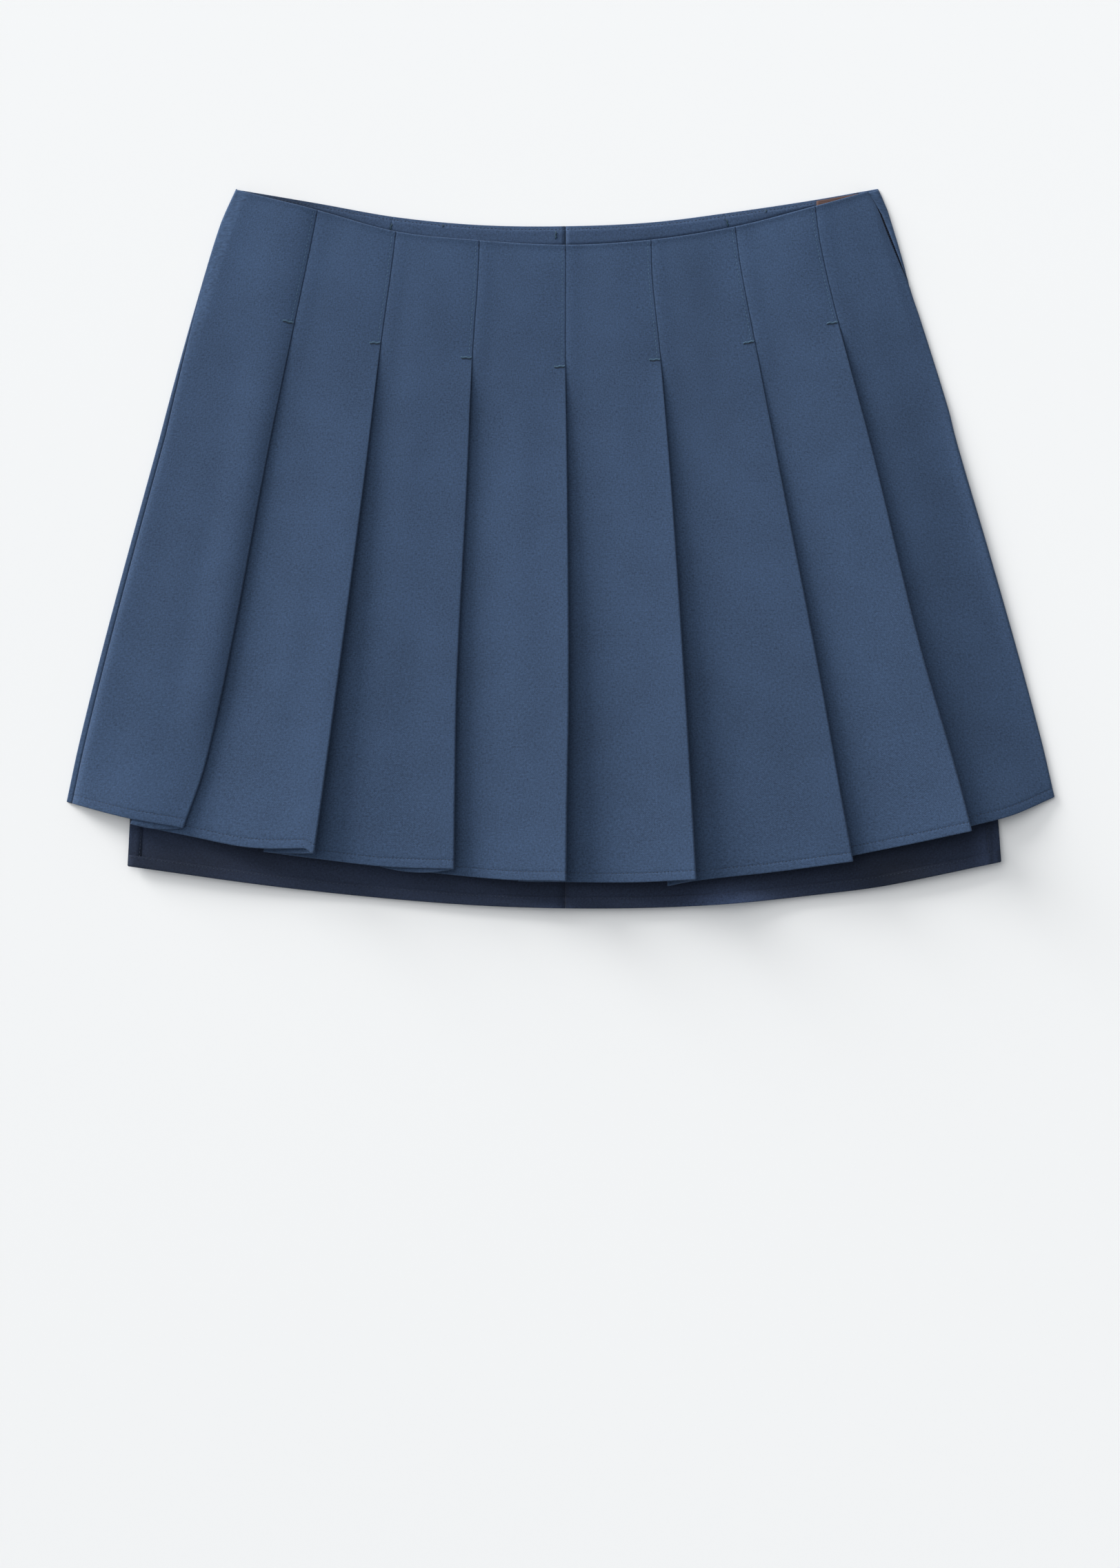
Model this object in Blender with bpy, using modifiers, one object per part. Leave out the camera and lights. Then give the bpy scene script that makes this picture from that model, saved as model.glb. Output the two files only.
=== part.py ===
"""Pleated mini skirt, laid flat on a table with its front up.

The frame is in metres with +Z up. The table is z = 0, the waist is towards +Y, and
left and right are the viewer's, -X and +X. The sizes below are in millimetres.

The front is one width of cloth with seven knife pleats. Each pleat has three layers:
the panel on its left ends in a fold edge on top, the cloth returns under it to an
inner fold, and the next panel starts there, at the bottom. The back is plain, in two
halves. It wraps round both sides to the side seams, and its hem steps down behind
the front's hem.
"""
import math
from collections import namedtuple

import bmesh
import bpy

MM = 0.001

# Cloth, and the heights at which its layers lie (measured to the middle of the cloth).
WALL = 1.0
SEAM_GAP = 0.3
SEWN_STEP = 1.4                        # from one layer up to the next, sewn together
FREE_STEP = 2.9                        # the same near the hem, where the pleats hang free
BACK_LEVEL = WALL / 2
FACING_LEVEL = BACK_LEVEL + SEWN_STEP
LABEL_LEVEL = FACING_LEVEL + SEWN_STEP
FRONT_LEVEL = BACK_LEVEL + SEWN_STEP   # lowest layer of the front, clear of the facing
LOFT = 3.3                             # the front's hem stands this much higher
LOFT_REACH = {-1: 20.0, 1: 55.0}       # and does so this far in from each side

# A height on the skirt runs from 0 at the waist edge to 1 at the hem.
TACK_HEIGHT = 0.18
FREE_HEIGHT = 0.75                     # the pleats hang quite free from here
FACING_END = (0.17, 0.30)              # between these the front comes down past the facing
LABEL_END = (0.035, 0.115)             # and between these past the label
LABEL_SIDE = (136.0, 153.0)            # x between which it rises on to the label
ROW_HEIGHTS = (0.0, 0.03, 0.07, 0.115, 0.15, 0.20, 0.28, 0.40, 0.52, 0.64, 0.76, 0.88, 1.0)
LINE_HEIGHTS = (0.0, 0.06, TACK_HEIGHT, 0.40, 0.70, 0.90, 1.0)

# Outline and fold edges: x at each of LINE_HEIGHTS, then y at the waist and at the hem.
Line = namedtuple("Line", "waist yoke tack hip thigh low hem waist_y hem_y")
LEFT_EDGE = Line(-198.0, -207.8, -221.2, -244.0, -274.4, -293.0, -300.7, 218.8, -153.9)
RIGHT_EDGE = Line(192.6, 201.8, 214.7, 239.9, 272.0, 292.1, 300.7, 218.8, -150.9)
FOLD_EDGES = (
    Line(-148.5, -152.9, -162.3, -179.1, -200.1, -216.5, -229.5, 206.5, -169.8),
    Line(-100.6, -103.5, -109.8, -119.7, -134.4, -144.5, -149.7, 193.0, -182.0),
    Line(-49.8, -50.8, -54.0, -57.5, -63.2, -64.5, -64.9, 186.7, -194.6),
    Line(2.7, 2.7, 2.7, 4.0, 4.8, 3.6, 3.2, 185.1, -201.8),
    Line(54.8, 55.6, 60.5, 67.6, 75.4, 80.0, 82.1, 188.4, -200.9),
    Line(106.1, 109.2, 118.0, 134.4, 156.9, 170.5, 177.5, 196.6, -190.0),
    Line(154.8, 157.9, 168.4, 190.3, 217.8, 239.6, 249.3, 208.8, -171.5),
)

# Each pleat's depth at the hem, how far its fold hangs below the panel's hem at the
# corner, and how far the hidden return sags below a straight hem.
WAIST_DEPTH = 18.0
Pleat = namedtuple("Pleat", "depth drop sag")
PLEATS = (
    Pleat(32.0, 0.0, 1.9),
    Pleat(31.0, 3.0, 0.5),
    Pleat(45.0, 0.0, 2.9),
    Pleat(29.0, 0.0, 0.5),
    Pleat(17.0, 0.0, 0.0),
    Pleat(30.0, 0.0, 0.0),
    Pleat(29.0, 0.0, 0.0),
)
CORNER_REACH = 6.0                     # a fold's drop at the hem starts this far inside it

# Hem of each front panel: y at its inner fold, where it comes out from under the fold
# on its left, half way, and at its own fold edge.
PanelHem = namedtuple("PanelHem", "hidden left middle right")
PANEL_HEMS = (
    PanelHem(-153.9, -153.9, -163.3, -169.8),
    PanelHem(-167.3, -174.0, -181.6, -182.0),
    PanelHem(-184.3, -188.3, -193.2, -194.6),
    PanelHem(-193.2, -198.4, -201.3, -201.8),
    PanelHem(-202.2, -202.6, -202.8, -200.9),
    PanelHem(-205.1, -201.8, -196.5, -190.0),
    PanelHem(-192.7, -186.6, -179.3, -171.5),
    PanelHem(-176.6, -168.6, -161.9, -150.9),
)

# Side seams: how far each runs from the outline, along the cloth. A positive distance
# is on the front's face, a negative one is underneath. The zip parts the right seam.
Seam = namedtuple("Seam", "height left right_front right_back")
SIDE_SEAMS = (
    Seam(0.0, -0.8, 6.7, 6.4),
    Seam(0.03, -0.7, 5.5, 4.2),
    Seam(0.07, -0.5, 4.4, 2.9),
    Seam(0.115, 0.0, 2.3, 1.4),
    Seam(0.15, 0.4, 0.2, -0.2),
    Seam(0.20, 1.1, -1.2, -1.7),
    Seam(0.28, 2.2, -2.6, -3.0),
    Seam(0.40, 3.6, -3.5, -3.9),
    Seam(1.0, 3.8, -4.0, -4.3),
)

# Back: the centre seam, the waist edge over each fold edge, and the stepped hem.
CENTRE_SEAM = 2.7
BACK_WAIST_Y = (218.8, 210.7, 202.1, 197.2, 196.4, 198.9, 205.4, 212.4, 218.8)
BACK_HEM = ((-263.6, -193.1), (-162.0, -206.9), (-61.0, -216.3), (19.5, -218.8),
            (95.0, -216.8), (170.0, -208.0), (267.6, -190.4))
STEP_HEIGHT = 37.0                     # the back's hem steps down this far
STEP_X = {-1: -261.9, 1: 265.2}        # where it steps, at the top of the step
UNDER_HEM_SLOPE = 0.065                # the hem under the sides falls towards the step

FACING_DEPTH = 45.0
FACING_EDGE = 0.4                      # the facing's edge lies this far below the waist
FACING_CLEAR = {-1: 4.0, 1: 12.5}      # its ends stop short of the side fold and the zip
ZIP_REACH = (0.01, 0.155)              # heights between which the tape lies
ZIP_EDGES = (2.9, 12.0)                # its two long edges, in from the outline
LABEL_SPAN = (155.6, 181.2)
LABEL_DROP = 2.0
LABEL_HEIGHT = 12.0

FOLD_SEGMENTS = 4
PLAIN_SHARES = (0.3, 0.6)              # columns across the last panel, which has no pleat
RISE_SHARES = (1 / 3, 2 / 3, 1.0)      # columns across a panel that rises over its pleat
BACK_COLUMNS = 9
TAIL_ROWS = (0.5, 1.0)                 # shares of the way down the back's step
SIDE_SEGMENTS = 10
TURN_WEIGHT = 2.0                      # one radian of turn counts as this much length
FRONT_SIDE_REACH = 8.0                 # the front's side stretch ends this far in
BACK_SIDE_REACH = 10.0                 # and the back's, underneath

SLATE_BLUE = (0.054, 0.098, 0.178, 1.0)
SHADED_NAVY = (0.020, 0.032, 0.075, 1.0)
LABEL_BROWN = (0.120, 0.050, 0.035, 1.0)


# ------------------------------------------------------------------ small helpers

def lerp(start, end, share):
    return start + (end - start) * share


def ease(value, start, end):
    """0 below start, 1 above end, and a smooth rise between."""
    share = min(max((value - start) / (end - start), 0.0), 1.0)
    return share * share * (3.0 - 2.0 * share)


def smooth_at(x, knots):
    """The value at x on a smooth curve through knots, which are (x, value) pairs."""
    if x <= knots[0][0]:
        return knots[0][1]
    if x >= knots[-1][0]:
        return knots[-1][1]
    last = len(knots) - 1
    slopes = []
    for index in range(last + 1):
        before = knots[max(index - 1, 0)]
        after = knots[min(index + 1, last)]
        slopes.append((after[1] - before[1]) / (after[0] - before[0]))
    index = max(i for i in range(last) if knots[i][0] <= x)
    (x0, y0), (x1, y1) = knots[index], knots[index + 1]
    span = x1 - x0
    t = (x - x0) / span
    return ((2 * t ** 3 - 3 * t ** 2 + 1) * y0 + (t ** 3 - 2 * t ** 2 + t) * span * slopes[index]
            + (3 * t ** 2 - 2 * t ** 3) * y1 + (t ** 3 - t ** 2) * span * slopes[index + 1])


def line_x(line, height):
    """x of an outline or a fold edge at a height."""
    return smooth_at(height, tuple(zip(LINE_HEIGHTS, line[:len(LINE_HEIGHTS)])))


def seam_at(height, column):
    """Distance of a side seam from the outline, straight between the table's rows."""
    for low, high in zip(SIDE_SEAMS, SIDE_SEAMS[1:]):
        if height <= high.height:
            share = (height - low.height) / (high.height - low.height)
            return lerp(getattr(low, column), getattr(high, column), share)
    return getattr(SIDE_SEAMS[-1], column)


# ------------------------------------------------------------------ the skirt's form

LINES = (LEFT_EDGE,) + FOLD_EDGES + (RIGHT_EDGE,)
FRONT_WAIST = tuple((line.waist, line.waist_y) for line in LINES)
BACK_WAIST = tuple((line.waist, y) for line, y in zip(LINES, BACK_WAIST_Y))
SIDE_EDGES = {-1: LEFT_EDGE, 1: RIGHT_EDGE}


def layer_step(height):
    """From one layer of a pleat to the next: close where sewn, looser below the tacks."""
    return lerp(SEWN_STEP, FREE_STEP, ease(height, TACK_HEIGHT, FREE_HEIGHT))


def front_level(x, height):
    """Level of the front's lowest layer: over the facing, over the label, then lower."""
    over_facing = SEWN_STEP * (1.0 - ease(height, *FACING_END))
    over_label = SEWN_STEP * ease(x, *LABEL_SIDE) * (1.0 - ease(height, *LABEL_END))
    return FRONT_LEVEL + over_facing + over_label


def lofted_level(x, height):
    """The same with the front's loft, which grows towards the hem and in from the sides."""
    loft = LOFT * height
    for side, reach in LOFT_REACH.items():
        loft *= ease(side * (line_x(SIDE_EDGES[side], height) - x), 0.0, reach)
    return front_level(x, height) + loft


def side_radius(side, height):
    """Radius of the half circle in which the cloth turns from the back up to the front."""
    edge = line_x(SIDE_EDGES[side], height)
    return (front_level(edge, height) - BACK_LEVEL) / 2


def side_point(side, height, distance):
    """(x, z) of the cloth at one side of the skirt, a distance round from the outline."""
    edge = line_x(SIDE_EDGES[side], height)
    radius = side_radius(side, height)
    centre = edge - side * (radius + WALL / 2)
    quarter = math.pi * radius / 2
    if distance >= quarter:
        x = centre - side * (distance - quarter)
        return x, lofted_level(x, height)
    if distance <= -quarter:
        return centre + side * (distance + quarter), BACK_LEVEL
    angle = distance / radius
    x = centre + side * radius * math.cos(angle)
    return x, BACK_LEVEL + radius + radius * math.sin(angle)


def side_distances(side, height, start, end):
    """Distances round a side from start to end, closer together where the cloth turns."""
    radius = side_radius(side, height)
    turn = TURN_WEIGHT * math.pi / 2
    quarter = math.pi * radius / 2

    def stretch(distance):
        return distance + turn * min(max(distance / quarter, -1.0), 1.0)

    distances = []
    for segment in range(SIDE_SEGMENTS + 1):
        place = lerp(stretch(start), stretch(end), segment / SIDE_SEGMENTS)
        if abs(place) > quarter + turn:
            distances.append(place - math.copysign(turn, place))
        else:
            distances.append(place * quarter / (quarter + turn))
    return distances


def fold_x(index, height):
    return line_x(FOLD_EDGES[index], height)


def inner_fold_x(index, height):
    return fold_x(index, height) - lerp(WAIST_DEPTH, PLEATS[index].depth, height)


def panel_hem_y(index, x):
    """Hem of a front panel at x, with the drop at its fold's corner."""
    hem = PANEL_HEMS[index]
    right = line_x(LINES[index + 1], 1.0)
    left = line_x(LINES[index], 1.0)
    knots = [(left, hem.left), ((left + right) / 2, hem.middle), (right, hem.right)]
    if index > 0:
        knots.insert(0, (inner_fold_x(index - 1, 1.0), hem.hidden))
    y = smooth_at(x, knots)
    if index < len(PLEATS):
        y -= PLEATS[index].drop * ease(x, right - CORNER_REACH, right - WALL)
    return y


def return_hem_y(index, x):
    """Hem of the hidden layer of a pleat, from its fold edge back to its inner fold."""
    outer, inner = fold_x(index, 1.0), inner_fold_x(index, 1.0)
    share = min(max((outer - x) / (outer - inner), 0.0), 1.0)
    corner = PANEL_HEMS[index].right - PLEATS[index].drop
    straight = lerp(corner, PANEL_HEMS[index + 1].hidden, share)
    return straight - PLEATS[index].sag * 4 * share * (1 - share)


def side_hem_y(side, x, distance):
    """Hem at a side: the front's hem on the face, and a nearly level one underneath."""
    edge = SIDE_EDGES[side]
    if distance > 0:
        return panel_hem_y(0 if side < 0 else len(PLEATS), x)
    return edge.hem_y - UNDER_HEM_SLOPE * abs(edge.hem - x)


def side_waist_y(x, distance):
    return smooth_at(x, FRONT_WAIST if distance > 0 else BACK_WAIST)


# ------------------------------------------------------------------ the front

def fold_arc(centre, level, radius, side):
    """Half circle of cloth at a fold, from its upper layer down to its lower one."""
    points = []
    for segment in range(1, FOLD_SEGMENTS):
        angle = math.pi / 2 - math.pi * segment / FOLD_SEGMENTS
        points.append((centre + side * radius * math.cos(angle), level + radius * math.sin(angle)))
    return points


def panel_points(index, height):
    """A front panel from its inner fold, under the pleat on its left, to its own fold."""
    step = layer_step(height)
    radius = step / 2
    points = []
    if index == 0:
        start = side_point(-1, height, FRONT_SIDE_REACH)[0]
    else:
        inner = inner_fold_x(index - 1, height) + WALL / 2 + radius
        start = fold_x(index - 1, height) + WALL
        points += [(x, 0.0) for x in (inner, (inner + start) / 2, start)]
    if index == len(FOLD_EDGES):
        end = side_point(1, height, FRONT_SIDE_REACH)[0]
        points += [(lerp(start, end, share), 0.0) for share in PLAIN_SHARES]
    else:
        top = inner_fold_x(index, height) - WALL
        points += [(lerp(start, top, share), share) for share in RISE_SHARES]
        outer = fold_x(index, height)
        ends = ((top + outer - CORNER_REACH) / 2, outer - CORNER_REACH, outer - WALL / 2 - radius)
        points += [(x, 1.0) for x in ends]
    return [(x, lofted_level(x, height) + 2 * step * rise) for x, rise in points]


def return_points(index, height):
    """The cloth from a fold edge round to the hidden layer and on to the inner fold."""
    step = layer_step(height)
    radius = step / 2
    outer = fold_x(index, height) - WALL / 2 - radius
    inner = inner_fold_x(index, height) + WALL / 2 + radius
    points = fold_arc(outer, lofted_level(outer, height) + 1.5 * step, radius, 1)
    points += [(x, lofted_level(x, height) + step) for x in (outer, (outer + inner) / 2, inner)]
    points += fold_arc(inner, lofted_level(inner, height) + 0.5 * step, radius, -1)
    return points


def front_row(height):
    """Across the front at a height: (x, z, waist y, hem y) of each point in the cloth."""
    row = []

    def add_side(side, start, end):
        for distance in side_distances(side, height, start, end):
            x, z = side_point(side, height, distance)
            row.append((x, z, side_waist_y(x, distance), side_hem_y(side, x, distance)))

    def add_stretch(points, index, hem):
        for x, z in points:
            row.append((x, z, smooth_at(x, FRONT_WAIST), hem(index, x)))

    add_side(-1, seam_at(height, "left") + SEAM_GAP / 2, FRONT_SIDE_REACH)
    for index in range(len(PANEL_HEMS)):
        add_stretch(panel_points(index, height), index, panel_hem_y)
        if index < len(PLEATS):
            add_stretch(return_points(index, height), index, return_hem_y)
    add_side(1, FRONT_SIDE_REACH, seam_at(height, "right_front"))
    return row


def grid_of_rows(rows):
    """Rows of (x, z, waist y, hem y) made into rows of (x, y, z).

    A point keeps its share of the way from its waist edge down to its hem.
    """
    waist_y = [point[2] for point in rows[0]]
    hem_y = [point[3] for point in rows[-1]]
    grid = []
    for height, row in zip(ROW_HEIGHTS, rows):
        ys = [lerp(top, bottom, height) for top, bottom in zip(waist_y, hem_y)]
        grid.append([(point[0], y, point[1]) for point, y in zip(row, ys)])
    return grid


def front_grid():
    return grid_of_rows([front_row(height) for height in ROW_HEIGHTS])


# ------------------------------------------------------------------ the back

def tail_hem(side):
    """(x, y) of the tail's hem, from the centre seam to the corner."""
    centre = CENTRE_SEAM + side * SEAM_GAP / 2
    corner = BACK_HEM[0][0] if side < 0 else BACK_HEM[-1][0]
    xs = [lerp(centre, corner, column / (BACK_COLUMNS - 1)) for column in range(BACK_COLUMNS)]
    return [(x, smooth_at(x, BACK_HEM)) for x in xs]


def back_row(side, height):
    """Across half of the back: (x, z, waist y, hem y), the hem being above the step."""
    centre = CENTRE_SEAM + side * SEAM_GAP / 2
    reach = side_point(side, height, -BACK_SIDE_REACH)[0]
    hem_reach = side_point(side, 1.0, -BACK_SIDE_REACH)[0]
    step_share = (STEP_X[side] - centre) / (hem_reach - centre)
    row = []
    for column, (hem_x, hem_y) in enumerate(tail_hem(side)):
        x = lerp(centre, reach, step_share * column / (BACK_COLUMNS - 1))
        row.append((x, BACK_LEVEL, smooth_at(x, BACK_WAIST), hem_y + STEP_HEIGHT))
    if side < 0:
        seam = seam_at(height, "left") - SEAM_GAP / 2
    else:
        seam = seam_at(height, "right_back")
    for distance in side_distances(side, height, -BACK_SIDE_REACH, seam):
        x, z = side_point(side, height, distance)
        row.append((x, z, side_waist_y(x, distance), side_hem_y(side, x, distance)))
    return row


def back_grid(side):
    """One half of the back, from the centre seam to the side seam.

    Below the step only the columns of the tail go on, so the side columns end there.
    """
    grid = grid_of_rows([back_row(side, height) for height in ROW_HEIGHTS])
    hem_row = grid[-1]
    for share in TAIL_ROWS:
        row = []
        for (x, y, z), (end_x, end_y) in zip(hem_row, tail_hem(side)):
            row.append((lerp(x, end_x, share), lerp(y, end_y, share), z))
        grid.append(row)
    return grid


def facing_grid(side):
    """Half of the strip that lines the back's waist, between the back and the front."""
    centre = CENTRE_SEAM + side * SEAM_GAP / 2
    edge = SIDE_EDGES[side]
    grid = []
    for depth in (0.0, FACING_DEPTH / 2, FACING_DEPTH):
        height = depth / (edge.waist_y - edge.hem_y)
        end = line_x(edge, height) - side * FACING_CLEAR[side]
        row = []
        for column in range(BACK_COLUMNS):
            share = column / (BACK_COLUMNS - 1)
            waist_x = lerp(centre, edge.waist - side * FACING_CLEAR[side], share)
            y = smooth_at(waist_x, BACK_WAIST) - FACING_EDGE - depth
            row.append((lerp(centre, end, share), y, FACING_LEVEL))
        grid.append(row)
    return grid


def zip_grid():
    """The zip's tape, flat under the slit in the right side seam."""
    rows = 5
    grid = []
    for index in range(rows):
        height = lerp(ZIP_REACH[0], ZIP_REACH[1], index / (rows - 1))
        edge = line_x(RIGHT_EDGE, height)
        y = lerp(RIGHT_EDGE.waist_y, RIGHT_EDGE.hem_y, height)
        grid.append([(edge - inset, y, FACING_LEVEL) for inset in ZIP_EDGES])
    return grid


def label_grid():
    """A plain label along the back's waist edge, on the facing."""
    grid = []
    for depth in (LABEL_DROP, LABEL_DROP + LABEL_HEIGHT):
        row = []
        for share in (0.0, 0.5, 1.0):
            x = lerp(LABEL_SPAN[0], LABEL_SPAN[1], share)
            row.append((x, smooth_at(x, BACK_WAIST) - depth, LABEL_LEVEL))
        grid.append(row)
    return grid


# ------------------------------------------------------------------ objects

def make_material(name, colour, roughness):
    material = bpy.data.materials.new(name)
    material.use_nodes = True
    shader = material.node_tree.nodes["Principled BSDF"]
    shader.inputs["Base Color"].default_value = colour
    shader.inputs["Roughness"].default_value = roughness
    shader.inputs["Metallic"].default_value = 0.0
    return material


def make_cloth(name, grid, material, collection):
    """A wall of cloth: a sheet through the grid's points, thickened to both sides."""
    mesh = bpy.data.meshes.new(name)
    sheet = bmesh.new()
    rows = [[sheet.verts.new((x * MM, y * MM, z * MM)) for x, y, z in row] for row in grid]
    for upper, lower in zip(rows, rows[1:]):
        for column in range(len(lower) - 1):
            corners = (upper[column], lower[column], lower[column + 1], upper[column + 1])
            sheet.faces.new(corners)
    sheet.normal_update()
    sheet.to_mesh(mesh)
    sheet.free()
    mesh.shade_smooth()
    mesh.materials.append(material)
    cloth = bpy.data.objects.new(name, mesh)
    collection.objects.link(cloth)
    wall = cloth.modifiers.new("wall", "SOLIDIFY")
    wall.thickness = WALL * MM
    wall.offset = 0.0
    return cloth


def main():
    for old in list(bpy.data.objects):
        bpy.data.objects.remove(old)
    collection = bpy.data.collections.new("pleated_mini_skirt")
    bpy.context.scene.collection.children.link(collection)

    cloth = make_material("slate_blue_cloth", SLATE_BLUE, 0.85)
    facing = make_material("navy_facing", SHADED_NAVY, 0.9)
    brown = make_material("brown_label", LABEL_BROWN, 0.8)

    make_cloth("front_panel", front_grid(), cloth, collection)
    make_cloth("back_panel_left", back_grid(-1), cloth, collection)
    make_cloth("back_panel_right", back_grid(1), cloth, collection)
    make_cloth("back_facing_left", facing_grid(-1), facing, collection)
    make_cloth("back_facing_right", facing_grid(1), facing, collection)
    make_cloth("side_zip", zip_grid(), facing, collection)
    make_cloth("waist_label", label_grid(), brown, collection)


main()
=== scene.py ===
"""Pleated mini skirt of slate blue twill, laid flat, seen from straight above.

The sizes in the tables are in millimetres. The waist is towards +Y, and left and right
are the viewer's, -X and +X. Each piece of cloth is a thin shell that lies where the
solid of its piece lies, with its edges turned under, its folds and its sewing.
"""
import math
from collections import namedtuple
from functools import lru_cache

import bmesh
import bpy
from bpy.props import FloatProperty, FloatVectorProperty, IntProperty, PointerProperty
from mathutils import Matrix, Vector, noise


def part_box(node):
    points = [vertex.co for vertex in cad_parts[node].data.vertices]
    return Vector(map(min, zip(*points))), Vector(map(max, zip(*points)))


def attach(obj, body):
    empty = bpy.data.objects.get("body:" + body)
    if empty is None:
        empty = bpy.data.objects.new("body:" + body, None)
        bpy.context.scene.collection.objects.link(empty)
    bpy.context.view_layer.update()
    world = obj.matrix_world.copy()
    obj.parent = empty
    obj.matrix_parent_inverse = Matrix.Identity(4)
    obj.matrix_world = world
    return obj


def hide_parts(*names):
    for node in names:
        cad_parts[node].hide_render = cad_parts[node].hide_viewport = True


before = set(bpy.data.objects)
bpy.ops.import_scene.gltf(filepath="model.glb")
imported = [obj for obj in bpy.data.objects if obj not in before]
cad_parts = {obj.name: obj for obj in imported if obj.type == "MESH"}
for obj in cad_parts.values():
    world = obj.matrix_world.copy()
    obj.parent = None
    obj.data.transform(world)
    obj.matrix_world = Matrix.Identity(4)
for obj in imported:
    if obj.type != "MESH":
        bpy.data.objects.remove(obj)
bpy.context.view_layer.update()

bl_info = {
    "name": "Pleated mini skirt",
    "version": (1, 0, 0),
    "blender": (4, 5, 0),
    "location": "View3D > Sidebar > Skirt",
    "description": "Builds a pleated mini skirt that lies flat, with its sewing and its stage",
    "category": "Add Mesh",
}

MM = 0.001

# Heights of the layers on the table, to the middle of the cloth.
LOWEST_FRONT = 1.6                     # the front's lowest layer, where nothing lies under it
OVER_FACING = 1.0                      # the facing raises it at the waist
OVER_LABEL = 0.8                       # and the label raises it again
OVER_REACH = 9.0                       # at each side it comes down over this width
FACING_Z = 1.25
LABEL_Z = 2.6
FACING_SWELL = 0.80                    # the facing stands higher where the front leaves it bare
ZIP_Z = 0.75
FACING_END = (0.17, 0.30)              # the front comes down past the end of the facing
LABEL_SIDE = (136.0, 153.0)            # it rises at the right, over the label
LABEL_END = (0.035, 0.115)             # and comes down again below it
LOFT = 5.6                             # the front's hem stands this much off the back
LOFT_POWER = 0.8                       # the loft grows this way from the waist to the hem
LIP_SHARE = 0.6                        # of the loft, reached at once beside the left seam
LIP_WIDTH = 2.2
LIP_LEAD = 1.5                         # it begins this far outside the seam
LEFT_RIM = 70.0                        # how far in from the left all of the loft is reached
RIGHT_RIM = 58.0
RIM = 5.5                              # unevenness fades out this near to the sides
RIGHT_RIDGE = ((0.30, 0.0), (0.44, 1.3), (0.68, 1.3), (0.80, 0.5), (1.0, 0.5))
RIDGE_WIDTH = 5.0                      # of the ridge that the right seam's allowance makes
WAIST_CURL = 0.45                      # the front's waist edge curls up
CURL_DEPTH = 2.6

# A height on the skirt runs from 0 at the waist edge to 1 at the hem.
TACK_HEIGHT = 0.18
LINE_HEIGHTS = (0.0, 0.06, TACK_HEIGHT, 0.40, 0.70, 0.90, 1.0)

# Outline and fold edges: x at each of LINE_HEIGHTS, then y at the waist and at the hem.
Line = namedtuple("Line", "waist yoke tack hip thigh low hem waist_y hem_y")
LEFT_EDGE = Line(-198.0, -207.8, -221.2, -244.0, -274.4, -293.0, -300.7, 218.8, -153.9)
RIGHT_EDGE = Line(192.6, 201.8, 214.7, 239.9, 272.0, 292.1, 300.7, 218.8, -150.9)
FOLD_EDGES = (
    Line(-148.5, -152.9, -162.3, -179.1, -200.1, -216.5, -229.5, 206.5, -169.8),
    Line(-100.6, -103.5, -109.8, -119.7, -134.4, -144.5, -149.7, 193.0, -182.0),
    Line(-49.8, -50.8, -54.0, -57.5, -63.2, -64.5, -64.9, 186.7, -194.6),
    Line(2.7, 2.7, 2.7, 4.0, 4.8, 3.6, 3.2, 185.1, -201.8),
    Line(54.8, 55.6, 60.5, 67.6, 75.4, 80.0, 82.1, 188.4, -200.9),
    Line(106.1, 109.2, 118.0, 134.4, 156.9, 170.5, 177.5, 196.6, -190.0),
    Line(154.8, 157.9, 168.4, 190.3, 217.8, 239.6, 249.3, 208.8, -171.5),
)
LINES = (LEFT_EDGE,) + FOLD_EDGES + (RIGHT_EDGE,)
SIDE_EDGES = {-1: LEFT_EDGE, 1: RIGHT_EDGE}

# Small waves of the two side edges, as (height, distance towards +X).
EDGE_WAVES = {
    LEFT_EDGE: ((0.0, -0.3), (0.10, -0.4), (0.24, -0.7), (0.34, -0.5), (0.42, -0.2),
                (0.90, -0.3), (1.0, -0.6)),
    RIGHT_EDGE: ((0.0, 0.8), (0.025, 1.2), (0.06, 0.4), (0.17, 0.6), (0.21, 1.1),
                 (0.36, 1.0), (0.40, 0.1), (0.47, -0.2), (0.60, 0.0), (1.0, 0.0)),
}

# Each pleat: its depth at the hem, how far its fold hangs below the panel's hem, how far
# the hidden return sags, the hump that the fold lies on, how high the return stands off
# it at the hem, how much more (+) or less (-) it gapes just below its bar tack, how loose
# the fold itself is half way down and at the hem, and the soft roll of the panel beside it.
WAIST_DEPTH = 18.0
Pleat = namedtuple("Pleat", "depth drop sag hump stand gape round loose roll")
PLEATS = (
    Pleat(32.0, 0.0, 1.9, 0.2, 0.2, 0.0, 1.9, 0.8, 2.0),
    Pleat(31.0, 3.0, 0.5, 2.8, 7.3, 0.1, 0.8, 0.8, 0.3),
    Pleat(45.0, 0.0, 2.9, 1.8, 4.0, 1.3, 0.8, 0.8, 0.2),
    Pleat(29.0, 0.0, 0.5, 3.7, 7.6, 0.1, 0.8, 0.8, 0.0),
    Pleat(17.0, 0.0, 0.0, 3.9, 7.6, 0.4, 0.8, 0.8, 0.0),
    Pleat(30.0, 0.0, 0.0, 2.6, 3.8, -0.4, 0.8, 0.8, 0.2),
    Pleat(29.0, 0.0, 0.0, 3.6, 6.0, 1.0, 0.8, 0.8, 0.2),
)
HUMP_WIDTH = 20.0
RISE_POWER = 1.5                       # how late a panel rises towards its own fold edge
ROLL_WIDTH = 30.0
ROLL_PEAK = 27 / 4                     # brings the highest point of the roll's curve to 1
YOKE_ROLL = 0.55                       # this much of the roll where the fold is sewn,
ROLL_FULL = (TACK_HEIGHT, 0.40)        # and all of it below these heights
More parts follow.
